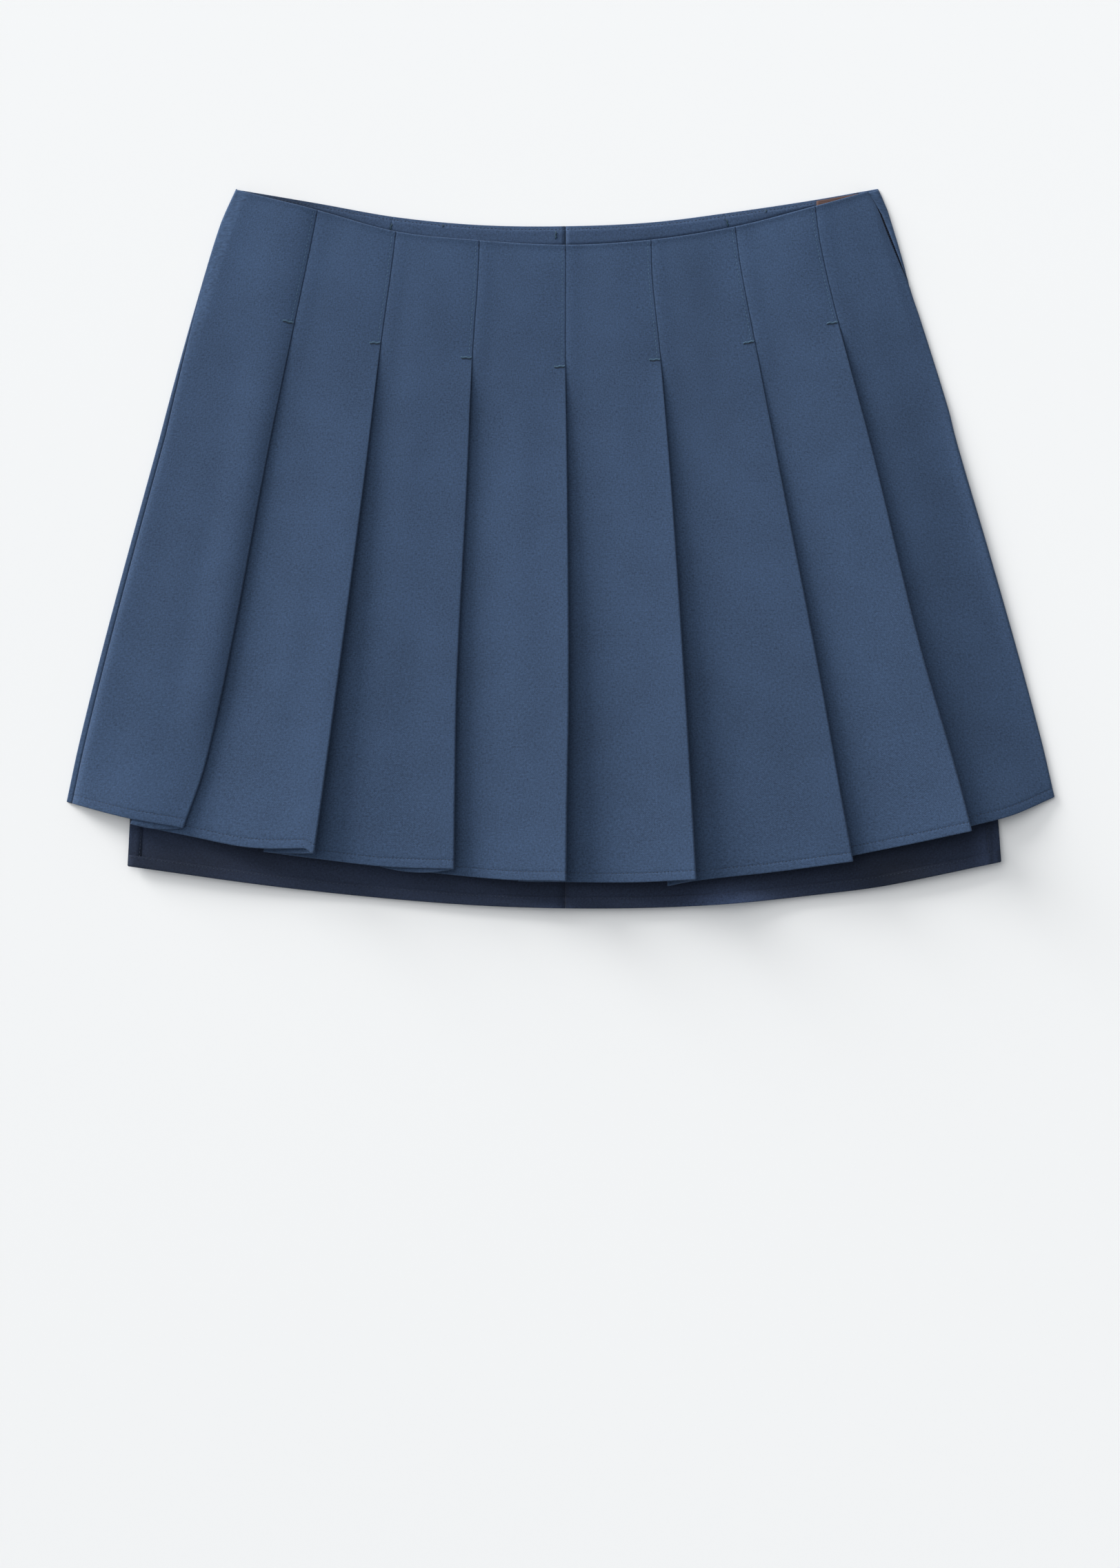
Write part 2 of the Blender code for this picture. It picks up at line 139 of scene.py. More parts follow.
CRISP = (0.76, 0.94)                   # a round fold turns crisp between these
PRESSED_GAPS = (0.03, 0.42)            # between the layers of a pleat, sewn and lower down
PRESSED_END = (TACK_HEIGHT, 0.60)
OPENING_POWER = 0.75                   # a pleat opens this way from its tack to the hem
GAPE_START = (TACK_HEIGHT, 0.25)       # where a fold starts to gape
GAPE_END = (0.30, 0.44)                # and where it stops
DENT = 0.25                            # how deep a fold is pressed into the cloth under it
DENT_WIDTH = 4.0
DENT_END = (TACK_HEIGHT, 0.30)
SILL = 0.55                            # how far the cloth beside a sewn fold rises against it
SILL_EDGE = 0.35
SILL_WIDTH = 12.0
INNER_FLAT = 2.0                       # the cloth stays flat this near to an inner fold
CORNER_REACH = 6.0                     # a fold's drop is spread over this width at the hem,
CORNER_TIP = 1.0                       # up to here

# Hem of each front panel: y at its inner fold, where it comes out from under the fold
# on its left, half way, and at its own fold edge.
PanelHem = namedtuple("PanelHem", "hidden left middle right")
PANEL_HEMS = (
    PanelHem(-153.9, -153.9, -163.3, -169.8),
    PanelHem(-167.3, -174.0, -181.6, -182.0),
    PanelHem(-184.3, -188.3, -193.2, -194.6),
    PanelHem(-193.2, -198.4, -201.3, -201.8),
    PanelHem(-202.2, -202.6, -202.8, -200.9),
    PanelHem(-205.1, -201.8, -196.5, -190.0),
    PanelHem(-192.7, -186.6, -179.3, -171.5),
    PanelHem(-176.6, -168.6, -161.9, -150.9),
)

# Side seams: how far each runs from the outline, along the cloth. A positive distance
# is on the front's face, a negative one is underneath. The zip parts the right seam.
Seam = namedtuple("Seam", "height left right_front right_back")
SIDE_SEAMS = (
    Seam(0.0, -0.8, 6.7, 6.4),
    Seam(0.03, -0.7, 5.5, 4.2),
    Seam(0.07, -0.5, 4.4, 2.9),
    Seam(0.115, 0.0, 2.3, 1.4),
    Seam(0.15, 0.4, 0.2, -0.2),
    Seam(0.20, 1.1, -1.2, -1.7),
    Seam(0.28, 2.2, -2.6, -3.0),
    Seam(0.40, 3.6, -3.5, -3.9),
    Seam(1.0, 3.8, -4.0, -4.3),
)

# Back: the centre seam, the waist edge over each fold edge, the hem as (x, y), and the step
# at each side that leads down to it.
CENTRE_SEAM = 2.7
BACK_WAIST_Y = (219.4, 211.0, 202.6, 197.8, 197.1, 199.4, 205.8, 213.1, 219.8)
BACK_HEM = ((-263.6, -193.1), (-162.0, -206.9), (-61.0, -216.3), (19.5, -218.8),
            (95.0, -216.5), (170.0, -208.8), (200.0, -204.5), (267.6, -190.5))
STEP_HEIGHT = 37.0
STEP_X = {-1: -261.9, 1: 265.2}
UNDER_HEM_SLOPE = 0.065

DROP = LEFT_EDGE.waist_y - LEFT_EDGE.hem_y
FRONT_WAIST = tuple((line.waist, line.waist_y) for line in LINES)
BACK_WAIST = tuple((line.waist, y) for line, y in zip(LINES, BACK_WAIST_Y))
# How much further up than FRONT_WAIST the edge reaches over each fold edge, and the height
# below which nothing is left of that.
WAIST_RISES = (0.4, 0.3, 0.8, 1.7, 0.5, 0.3, 0.2, 0.4, 1.0)
FRONT_RISE = tuple((line.waist, rise) for line, rise in zip(LINES, WAIST_RISES))
RISE_END = 0.10

# Soft ridges (+) and troughs (-) in the front: middle, half widths across and along,
# turn from the skirt's length in degrees, and height.
Swell = namedtuple("Swell", "x y wide long turn height")
SWELLS = (
    Swell(-215.0, 60.0, 22.0, 90.0, -12.0, 0.5),
    Swell(-180.0, 175.0, 12.0, 45.0, -10.0, 0.5),
    Swell(-250.0, -90.0, 20.0, 60.0, -14.0, 0.4),
    Swell(-165.0, -60.0, 14.0, 70.0, -12.0, 0.5),
    Swell(-95.0, 60.0, 12.0, 80.0, -4.0, 0.4),
    Swell(-90.0, -110.0, 14.0, 60.0, -3.0, -0.4),
    Swell(-25.0, 40.0, 12.0, 90.0, 0.0, 0.4),
    Swell(-20.0, -120.0, 14.0, 50.0, 0.0, 0.3),
    Swell(38.0, 90.0, 12.0, 60.0, 3.0, 0.4),
    Swell(50.0, -90.0, 16.0, 70.0, 2.0, -0.3),
    Swell(96.0, 165.0, 14.0, 36.0, 6.0, -0.9),
    Swell(118.0, 20.0, 14.0, 90.0, 6.0, 0.3),
    Swell(140.0, -120.0, 18.0, 60.0, 8.0, -0.4),
    Swell(172.0, 60.0, 12.0, 80.0, 12.0, 0.4),
    Swell(215.0, 30.0, 14.0, 90.0, 12.0, 0.5),
    Swell(240.0, -110.0, 18.0, 60.0, 14.0, -0.5),
    Swell(262.0, -60.0, 14.0, 80.0, 14.0, 0.4),
    Swell(-272.0, -166.0, 34.0, 22.0, 0.0, 3.6),
    Swell(274.0, -160.0, 28.0, 22.0, 0.0, 3.6),
)
# The same in the back, whose hem lifts off the table here and there.
BACK_SWELLS = (
    Swell(20.0, -232.0, 150.0, 38.0, 0.0, 5.2),
    Swell(238.0, -212.0, 90.0, 40.0, 12.0, 5.6),
    Swell(-228.0, -214.0, 90.0, 38.0, -10.0, 5.2),
    Swell(106.0, -218.0, 22.0, 7.0, 0.0, 4.2),
    Swell(-4.0, -222.0, 14.0, 5.0, 0.0, 1.6),
)

# Soft patches of painted light (+) and painted shade (-) in the cloth's colour: middle, half
# widths and share, on the front's face, on the facing and on the cloth's inside, which the back
# shows.
PaintedLight = namedtuple("PaintedLight", "x y wide long share")
# Painted light over the yoke and at the left hem corner, and painted shade on the left panel, in
# the yoke right of the fifth fold and over the lower middle of the front.
FACE_PAINTED_LIGHT = (
    PaintedLight(0.0, 196.0, 900.0, 62.0, 0.15),
    PaintedLight(-225.0, -40.0, 50.0, 130.0, -0.06),
    PaintedLight(-243.0, -138.0, 22.0, 36.0, 0.12),
    PaintedLight(84.0, 152.0, 20.0, 42.0, -0.10),
    PaintedLight(52.0, -125.0, 165.0, 78.0, -0.09),
)
# Painted shade at the facing's left end, and painted light along its middle.
FACING_PAINTED_LIGHT = (
    PaintedLight(-168.0, 213.0, 32.0, 12.0, -0.50),
    PaintedLight(0.0, 205.0, 100.0, 14.0, 0.10),
)
# Painted light and painted shade on the back's tail: two lit patches at its hem, lighter bands
# under the front's hem, darker ones towards its edge, and a thin painted dark line at the right
# step.
INSIDE_PAINTED_LIGHT = (
    PaintedLight(104.0, -217.0, 25.0, 9.0, 1.5),
    PaintedLight(-4.0, -220.0, 13.0, 4.5, 0.5),
    PaintedLight(-245.0, -192.0, 70.0, 11.0, -0.30),
    PaintedLight(-235.0, -168.0, 70.0, 8.0, 0.55),
    PaintedLight(-110.0, -190.0, 50.0, 9.0, 0.25),
    PaintedLight(204.0, -198.0, 26.0, 16.0, -0.55),
    PaintedLight(259.0, -190.0, 7.0, 24.0, 0.50),
    PaintedLight(262.0, -198.0, 1.6, 40.0, -0.5),
)

# How far the inner end of each bar tack lies above (+) or below (-) its end at the fold,
# and how much lower down the fold it is sewn than TACK_HEIGHT.
TACK_SLANTS = (1.6, 0.2, 0.3, -0.5, -0.4, -1.3, -0.6)
TACK_DROPS = (1.1, -0.6, 1.2, 3.4, 2.0, -0.5, 1.2)

# Darts and thread tacks on the facing: where, how far below the edge, and how long.
Mark = namedtuple("Mark", "x drop length dart")
FACING_MARKS = (
    Mark(-102.3, 3.6, 4.2, True),
    Mark(-72.9, 0.8, 1.6, False),
    Mark(-2.8, 2.6, 4.8, False),
    Mark(99.8, 3.2, 4.6, True),
    Mark(123.3, 0.8, 1.8, False),
)
FACING_DEPTH = 45.0
FACING_GAP = 0.40                      # between the two halves of the facing
FACING_CLEAR = {-1: 4.0, 1: 12.5}      # from each of its side ends to the outline

UP = (0.0, 0.0, 1.0)


# ------------------------------------------------------------------ sizes and colours

def length(name, description, millimetres):
    return FloatProperty(name=name, description=description, default=millimetres * MM,
                         min=0.0, precision=5, unit="LENGTH")


def strength(name, description, value):
    return FloatProperty(name=name, description=description, default=value, min=0.0)


def angle(name, description, degrees):
    return FloatProperty(name=name, description=description, default=math.radians(degrees),
                         min=0.0, subtype="ANGLE")


def colour(name, description, value):
    return FloatVectorProperty(name=name, description=description, default=value,
                               size=3, min=0.0, max=1.0, subtype="COLOR")


class SkirtSizes(bpy.types.PropertyGroup):
    """Sizes of the cloth and its sewing."""
    cloth: length("Cloth", "Thickness of the twill", 0.38)
    hem: length("Hem", "Depth of the turned hem", 6.6)
    hem_stitch: length("Hem stitch", "From the hem's edge up to its stitches", 5.4)
    side_hem: length("Back edge hem", "Width of the turned edges of the back's step", 7.5)
    waist_turn: length("Waist turn", "Depth of the cloth turned in at the waist", 9.0)
    edge_stitch: length("Edge stitch", "From a fold's edge to its stitches", 1.6)
    under_stitch: length("Under stitch", "From the back's waist edge to its stitches", 1.8)
    pitch: length("Stitch pitch", "From one stitch to the next", 2.3)
    stitch: length("Stitch", "Length of the thread that shows in one stitch", 1.5)
    thread: length("Thread", "Thickness of the sewing thread", 0.34)
    groove: length("Groove", "How deep a line of stitches pulls the cloth in", 0.20)
    unevenness: length("Unevenness", "Height of the cloth's small undulations", 0.30)
    tack: length("Bar tack", "Length of the bar at the foot of each sewn fold", 6.2)
    tack_width: length("Bar tack width", "Width of that bar", 1.25)
    weave: length("Weave", "Distance between two ribs of the twill", 0.55)
    teeth: IntProperty(name="Zip teeth", description="Teeth of the zip that show",
                       default=44, min=2)


class SkirtColours(bpy.types.PropertyGroup):
    """Colours of the cloth, the trimmings and the stage."""
    face: colour("Face", "Outside of the twill", (0.0367, 0.0672, 0.1320))
    # A darker navy than the face: partly the twill's wrong side, and partly painted shade for the
    # back's tail under the front's hem and its turned hems.
    inside: colour("Inside", "Inside of the twill", (0.0172, 0.0265, 0.054))
    lining: colour("Facing", "Face of the waist facing", (0.0372, 0.067, 0.133))
    thread: colour("Thread", "Sewing thread", (0.014, 0.026, 0.052))
    tack: colour("Tack thread", "Lighter thread of the folds", (0.056, 0.122, 0.200))
    mark: colour("Facing tacks", "Thread of the facing's tacks", (0.006, 0.034, 0.056))
    tape: colour("Zip tape", "Woven tape of the zip", (0.016, 0.026, 0.055))
    label: colour("Label", "Woven label", (0.088, 0.044, 0.037))
    floor: colour("Floor", "Surface that the skirt lies on", (0.915, 0.926, 0.942))
    key: colour("Key light", "Light from the upper left", (1.0, 0.985, 0.96))
    sky: colour("Fill light", "Light from all round", (0.93, 0.97, 1.0))


class SkirtLight(bpy.types.PropertyGroup):
    """Strength and place of the lights and the camera."""
    key: strength("Key", "Strength of the broad key light", 1.85)
    key_softness: angle("Key softness", "Its width in the sky", 80)
    key_height: angle("Key height", "Its height over the floor", 40)
    low: strength("Low", "Strength of the low light", 3.85)
    low_softness: angle("Low softness", "Its width in the sky", 24)
    low_height: angle("Low height", "Its height over the floor", 13)
    fill: strength("Fill", "Strength of the light from all round", 0.36)
    azimuth: angle("Azimuth", "Way to the lights, from +X to +Y", 138)
    lens: FloatProperty(name="Lens", description="Focal length in millimetres",
                        default=150.0, min=10.0)


# ------------------------------------------------------------------ small helpers

def lerp(start, end, share):
    return start + (end - start) * share


def ease(value, start, end):
    """0 below start, 1 above end, and a smooth rise between."""
    share = min(max((value - start) / (end - start), 0.0), 1.0)
    return share * share * (3.0 - 2.0 * share)


def shares(count):
    """count numbers from 0 to 1, evenly spaced."""
    return [index / (count - 1) for index in range(count)]


def smooth_at(x, knots):
    """The value at x on a smooth curve through knots, which are (x, value) pairs."""
    if x <= knots[0][0]:
        return knots[0][1]
    if x >= knots[-1][0]:
        return knots[-1][1]
    last = len(knots) - 1
    index = max(i for i in range(last) if knots[i][0] <= x)

    def slope(at):
        before, after = knots[max(at - 1, 0)], knots[min(at + 1, last)]
        return (after[1] - before[1]) / (after[0] - before[0])

    (x0, y0), (x1, y1) = knots[index], knots[index + 1]
    span = x1 - x0
    t = (x - x0) / span
    return ((2 * t ** 3 - 3 * t ** 2 + 1) * y0 + (t ** 3 - 2 * t ** 2 + t) * span * slope(index)
            + (3 * t ** 2 - 2 * t ** 3) * y1 + (t ** 3 - t ** 2) * span * slope(index + 1))


@lru_cache(maxsize=None)
def line_x(line, height):
    """x of an outline or a fold edge at a height."""
    x = smooth_at(height, tuple(zip(LINE_HEIGHTS, line[:len(LINE_HEIGHTS)])))
    return x + (smooth_at(height, EDGE_WAVES[line]) if line in EDGE_WAVES else 0.0)


@lru_cache(maxsize=None)
def seam_at(height, column):
    """Distance of a side seam from the outline, straight between the table's rows."""
    for low, high in zip(SIDE_SEAMS, SIDE_SEAMS[1:]):
        if height <= high.height:
            share = (height - low.height) / (high.height - low.height)
            return lerp(getattr(low, column), getattr(high, column), share)
    return getattr(SIDE_SEAMS[-1], column)


def fold_x(index, height):
    return line_x(FOLD_EDGES[index], height)


def inner_fold_x(index, height):
    return fold_x(index, height) - lerp(WAIST_DEPTH, PLEATS[index].depth, height)


def swell_at(swells, x, y):
    """Height that the soft ridges and troughs add at a place."""
    total = 0.0
    for swell in swells:
        turn = math.radians(swell.turn)
        dx, dy = x - swell.x, y - swell.y
        across = (dx * math.cos(turn) + dy * math.sin(turn)) / swell.wide
        along = (dy * math.cos(turn) - dx * math.sin(turn)) / swell.long
        total += swell.height * math.exp(-across * across - along * along)
    return total


# The cloth's irregular waves: their size across and along, the slice of the noise that
# they are cut from, and their share.
Wave = namedtuple("Wave", "across along slice share")
WAVES = (Wave(34.0, 75.0, 3.7, 0.75), Wave(13.0, 26.0, 9.1, 0.35))


def uneven(x, y):
    """Soft irregular waves in the cloth, from -1 to 1, longer along the skirt than across."""
    return sum(wave.share * noise.noise(Vector((x / wave.across, y / wave.along, wave.slice)))
               for wave in WAVES)


# ------------------------------------------------------------------ where the cloth lies

Point = namedtuple("Point", "x z waist_y hem_y")


class SkirtForm:
    """The middle of each layer of cloth, in millimetres, worked out across the skirt."""

    SIDE_REACH = 8.0                   # the front's side stretch ends this far in
    BACK_REACH = 10.0                  # and the back's, underneath
    TURN_SHARE = math.pi               # the turn between them gets points as if this much longer
    SEAM_GAP = 0.06
    TURN_GAP = 0.08                    # inside a turned edge
    TABLE_GAP = 0.02                   # under the back

    # Columns of the front: how many in each stretch, and millimetres from a fold's edge.
    COUNTS = {"side": 13, "under": 6, "panel": 14, "fold": 9, "return": 10, "inner_fold": 6}
    FROM_FOLD = (0.35, 1.2, 2.6, 4.8)
    TO_FOLD = (13.0, 9.0, 6.2, 4.2, 2.9)
    TO_FOLD_LAST = 0.6
    STITCH_PULL_WIDTH = 0.55           # half of the groove that the fold's stitches pull
    PANEL_START = 7.5                  # the even columns of a panel start this far from a fold
    PANEL_END = 18.0                   # and end this far from its own
    SIDE_CLEAR = 0.8                   # or this far from the stretch round a side

    def __init__(self, sizes):
        self.cloth = sizes.cloth / MM
        self.turn = self.cloth / 2 + self.TURN_GAP / 2
        self.inset = self.turn + self.cloth / 2
        self.back_level = self.cloth / 2 + self.TABLE_GAP
        self.front_columns = self.list_front_columns(sizes)

    # levels

    def level(self, x, height):
        """The front's lowest layer over the facing, over the label, and then lower."""
        over_facing = OVER_FACING * (1.0 - ease(height, *FACING_END))
        over_label = OVER_LABEL * ease(x, *LABEL_SIDE) * (1.0 - ease(height, *LABEL_END))
        from_left = x - line_x(LEFT_EDGE, height)
        from_right = line_x(RIGHT_EDGE, height) - x
        inside = ease(from_left, 0.0, OVER_REACH) * ease(from_right, 0.0, OVER_REACH)
        ridge = smooth_at(height, RIGHT_RIDGE) * math.exp(-(from_right / RIDGE_WIDTH) ** 2)
        return LOWEST_FRONT + (over_facing + over_label) * inside + ridge

    @lru_cache(maxsize=None)
    def side_arc(self, side, height):
        """(x of the centre, radius) of the turn from the back up to the front."""
        edge = line_x(SIDE_EDGES[side], height)
        radius = (self.level(edge, height) - self.back_level) / 2
        return edge - side * (radius + self.cloth / 2), radius

    def base(self, x, height):
        """The front's lowest layer with its loft, which grows in from both sides."""
        seam = self.side_arc(-1, height)[0] + max(seam_at(height, "left") - LIP_LEAD, 0.0)
        past = max(x - seam, 0.0)
        left = LIP_SHARE * (1.0 - math.exp(-past / LIP_WIDTH))
        left += (1.0 - LIP_SHARE) * ease(past, 0.0, LEFT_RIM)
        right = ease(self.side_arc(1, height)[0] - x, 0.0, RIGHT_RIM)
        return self.level(x, height) + LOFT * height ** LOFT_POWER * left * right

    def side_point(self, side, height, distance):
        """(x, z) of the cloth at one side, a distance round from the outline."""
        centre, radius = self.side_arc(side, height)
        quarter = math.pi * radius / 2
        if distance >= quarter:
            x = centre - side * (distance - quarter)
            return x, self.base(x, height)
        if distance <= -quarter:
            return centre + side * (distance + quarter), self.back_level
        angle = distance / radius
        return (centre + side * radius * math.cos(angle),
                self.back_level + radius + radius * math.sin(angle))

    @lru_cache(maxsize=None)
    def side_join(self, side, height):
        """x where the stretch round a side ends and the flat panel begins."""
        return self.side_point(side, height, self.SIDE_REACH)[0]

    def side_distance(self, side, height, start, end, share):
        """A distance round a side, with more points where the cloth turns."""
        more = self.TURN_SHARE
        radius = self.side_arc(side, height)[1]
        quarter = math.pi * radius / 2

        def stretch(distance):
            return distance + more * min(max(distance / quarter, -1.0), 1.0)

        place = lerp(stretch(start), stretch(end), share)
        if abs(place) > quarter + more:
            return place - math.copysign(more, place)
        return place * quarter / (quarter + more)

    # pleats

    def pressed(self, height):
        """From one layer to the next where a pleat is pressed flat."""
        return self.cloth + lerp(*PRESSED_GAPS, ease(height, *PRESSED_END))

    @staticmethod
    def opened(height):
        """0 down to the bar tack, then how far a pleat has opened, up to 1 at the hem."""
        return max((height - TACK_HEIGHT) / (1.0 - TACK_HEIGHT), 0.0) ** OPENING_POWER

    def under_share(self, index, x, height):
        """1 at a pleat's fold and 0 at its inner fold."""
        foot = fold_x(index, height)
        return 1.0 - ease(foot - x, 0.0, foot - inner_fold_x(index, height) - INNER_FLAT)

    def hump(self, index, x, height):
        """The low hump under a pleat's fold, which falls away on both sides of its foot."""
        foot = fold_x(index, height)
        away = x - foot
        if away >= 0:
            following = line_x(LINES[index + 2], height) - 2 * self.SIDE_REACH
            rest = math.exp(-(following - foot) / HUMP_WIDTH)
            shape = max(math.exp(-away / HUMP_WIDTH) - rest, 0.0) / (1.0 - rest)
        else:
            shape = (1.0 - away / HUMP_WIDTH) * self.under_share(index, x, height)
        return PLEATS[index].hump * self.opened(height) * shape

    def dent(self, index, x, height):
        """Down to its bar tack a pleat is pressed into the cloth, which rises beside it."""
        sewn = 1.0 - ease(height, *DENT_END)
        away = x - fold_x(index, height)
        if away < 0:
            return sewn * DENT * self.under_share(index, x, height)
        sill = SILL * ease(away, 0.0, SILL_EDGE) * (1.0 - ease(away, SILL_EDGE, SILL_WIDTH))
        return sewn * (DENT * (1.0 - ease(away, 0.0, DENT_WIDTH)) - sill)

    def stand(self, index, height):
        """Height of a pleat's return over the next panel, at the fold's edge."""
        pleat = PLEATS[index]
        gape = pleat.gape * ease(height, *GAPE_START) * (1.0 - ease(height, *GAPE_END))
        return self.pressed(height) + pleat.stand * self.opened(height) + gape

    def fold_gap(self, index, height):
        """From the return up to the panel at the fold's edge: the fold's own diameter."""
        pleat = PLEATS[index]
        loose = lerp(pleat.round, pleat.loose, ease(height, *CRISP))
        return self.pressed(height) + loose * self.opened(height)

    def under_z(self, index, x, height):
        """A panel's cloth where only the hump lifts it, under and beside the fold on its left."""
        z = self.base(x, height)
        if index:
            z += self.hump(index - 1, x, height) - self.dent(index - 1, x, height)
        return z

    def panel_z(self, index, x, height):
        """A panel from the fold on its left, over its own pleat, to its own fold edge."""
        z = self.under_z(index, x, height)
        if index == len(PLEATS):
            return z
        left = fold_x(index - 1, height) if index else self.side_join(-1, height)
        right, inner = fold_x(index, height), inner_fold_x(index, height)
        two_layers = 2 * self.pressed(height)
        rise = self.hump(index, right, height) + self.stand(index, height)
        rise += self.fold_gap(index, height) - two_layers
        rise -= self.under_z(index, right, height) - self.base(right, height)
        z -= self.dent(index, x, height)
        across = max((x - left) / (right - left), 0.0)
        z += two_layers * ease(x, left, inner) + rise * across ** RISE_POWER
        near = min(max((right - x) / ROLL_WIDTH, 0.0), 1.0)
        soft = lerp(YOKE_ROLL, 1.0, ease(height, *ROLL_FULL)) - ease(height, *CRISP)
        return z + PLEATS[index].roll * soft * ROLL_PEAK * near * (1.0 - near) ** 2

    def return_z(self, index, x, height):
        """The hidden layer of a pleat, which rises towards the fold's edge."""
        inner, outer = inner_fold_x(index, height), fold_x(index, height)
        share = min(max((x - inner) / (outer - inner), 0.0), 1.0)
        pressed = self.pressed(height)
        return (self.base(x, height) + self.hump(index, x, height) - self.dent(index, x, height)
                + lerp(pressed, self.stand(index, height), share ** 2))

    # hems and waist

    def panel_hem_y(self, index, x):
        hem = PANEL_HEMS[index]
        right = line_x(LINES[index + 1], 1.0)
        left = line_x(LINES[index], 1.0)
        knots = [(left, hem.left), ((left + right) / 2, hem.middle), (right, hem.right)]
        if index > 0:
            knots.insert(0, (inner_fold_x(index - 1, 1.0), hem.hidden))
        y = smooth_at(x, knots)
        if index < len(PLEATS):
            y -= PLEATS[index].drop * ease(x, right - CORNER_REACH, right - CORNER_TIP)
        return y

    def return_hem_y(self, index, x):
        outer, inner = fold_x(index, 1.0), inner_fold_x(index, 1.0)
        share = min(max((outer - x) / (outer - inner), 0.0), 1.0)
        corner = PANEL_HEMS[index].right - PLEATS[index].drop
        straight = lerp(corner, PANEL_HEMS[index + 1].hidden, share)
        return straight - PLEATS[index].sag * 4 * share * (1 - share)

    def side_hem_y(self, side, x, distance):
        edge = SIDE_EDGES[side]
        if distance > 0:
            return self.panel_hem_y(0 if side < 0 else len(PLEATS), x)
        return edge.hem_y - UNDER_HEM_SLOPE * abs(edge.hem - x)

    # the front's columns

    def list_front_columns(self, sizes):
        """The columns of the front, left to right: (stretch, panel or pleat, place)."""
        stitch, pull = sizes.edge_stitch / MM, self.STITCH_PULL_WIDTH
        to_fold = (*self.TO_FOLD, stitch + pull, stitch, stitch - pull, self.TO_FOLD_LAST)
        places = {stretch: shares(count) for stretch, count in self.COUNTS.items()}
        columns = [("left_side", 0, share) for share in places["side"]]
        for index in range(len(PANEL_HEMS)):
            if index > 0:
                columns += [("under", index, share) for share in places["under"]]
                columns += [("from_fold", index, place) for place in self.FROM_FOLD]
            columns += [("panel", index, share) for share in places["panel"]]
            if index < len(PLEATS):
                columns += [("to_fold", index, place) for place in to_fold]
                columns += [("fold", index, share) for share in places["fold"]]
                columns += [("return", index, share) for share in places["return"][1:]]
                columns += [("inner_fold", index, share) for share in places["inner_fold"][1:-1]]
        columns += [("right_side", len(PLEATS), share) for share in places["side"]]
        return columns

    def front_point(self, column, height):
        """Point of the front in one column at a height."""
        stretch, index, place = column
        if stretch in ("left_side", "right_side"):
            return self.front_side_point(-1 if index == 0 else 1, place, height)
        if stretch in ("under", "from_fold", "panel", "to_fold"):
            x = self.panel_x(stretch, index, place, height)
            place_z = self.under_z if stretch == "under" else self.panel_z
            z = place_z(index, x, height)
            return Point(x, z, smooth_at(x, FRONT_WAIST), self.panel_hem_y(index, x))
        x, z = self.pleat_xz(stretch, index, place, height)
        return Point(x, z, smooth_at(x, FRONT_WAIST), self.return_hem_y(index, x))

    def front_side_point(self, side, share, height):
        half_gap = self.SEAM_GAP / 2
        if side < 0:
            start, end = seam_at(height, "left") + half_gap, self.SIDE_REACH
        else:
            start, end = self.SIDE_REACH, seam_at(height, "right_front")
        distance = self.side_distance(side, height, start, end, share)
        x, z = self.side_point(side, height, distance)
        waist = smooth_at(x, FRONT_WAIST if distance > 0 else BACK_WAIST)
        return Point(x, z, waist, self.side_hem_y(side, x, distance))

    def panel_x(self, stretch, index, place, height):
        """x in a panel: a share of a stretch, or millimetres from one of its folds."""
        if stretch == "under":
            start = inner_fold_x(index - 1, height) + self.cloth / 2 + self.pressed(height) / 2
            return lerp(start, fold_x(index - 1, height), place)
        if stretch == "from_fold":
            return fold_x(index - 1, height) + place
        if stretch == "to_fold":
            return self.fold_arc(index, height)[0] - place
        if index == 0:
            left = self.side_join(-1, height) + self.SIDE_CLEAR
        else:
            left = fold_x(index - 1, height) + self.PANEL_START
        if index < len(PLEATS):
            right = self.fold_arc(index, height)[0] - self.PANEL_END
        else:
            right = self.side_join(1, height) - self.SIDE_CLEAR
        return lerp(left, right, place)

    @lru_cache(maxsize=None)
    def fold_arc(self, index, height):
        """(x of the centre, z of the centre, radius) of a pleat's outer fold."""
        radius = self.fold_gap(index, height) / 2
        x = fold_x(index, height) - self.cloth / 2 - radius
        return x, self.panel_z(index, x, height) - radius, radius

    def pleat_xz(self, stretch, index, place, height):
        """(x, z) in the fold, in the return under it, or in the inner fold."""
        x, z, radius = self.fold_arc(index, height)
        if stretch == "fold":
            angle = math.pi * (0.5 - place)
            return x + radius * math.cos(angle), z + radius * math.sin(angle)
        half_pressed = self.pressed(height) / 2
        inner = inner_fold_x(index, height) + self.cloth / 2 + half_pressed
        if stretch == "return":
            x = lerp(x, inner, place)
            return x, self.return_z(index, x, height)
        angle = math.pi * (0.5 - place)
        return (inner - half_pressed * math.cos(angle),
                self.base(inner, height) + half_pressed + half_pressed * math.sin(angle))


FORM = {}


def form(context):
    """The skirt's form, worked out once."""
    if "skirt" not in FORM:
        FORM["skirt"] = SkirtForm(context.scene.skirt_sizes)
    return FORM["skirt"]


# ------------------------------------------------------------------ grids of points

def spaced_rows(total, near_start, near_end, step):
    """Places from 0 to total: the near ones at each end, and even steps between."""
    start, end = near_start[-1], total - near_end[-1]
    count = max(round((end - start) / step), 1)
    middle = [lerp(start, end, index / count) for index in range(1, count)]
    return list(near_start) + middle + [total - place for place in reversed(near_end)]


def normals_of(row):
    """Unit normals (x, z) of a row of (x, y, z) points, to the left of its way across."""
    normals = []
    for index in range(len(row)):
        before, after = row[max(index - 1, 0)], row[min(index + 1, len(row) - 1)]
        dx, dz = after[0] - before[0], after[2] - before[2]
        size = math.hypot(dx, dz) or 1.0
        normals.append((-dz / size, dx / size))
    return normals


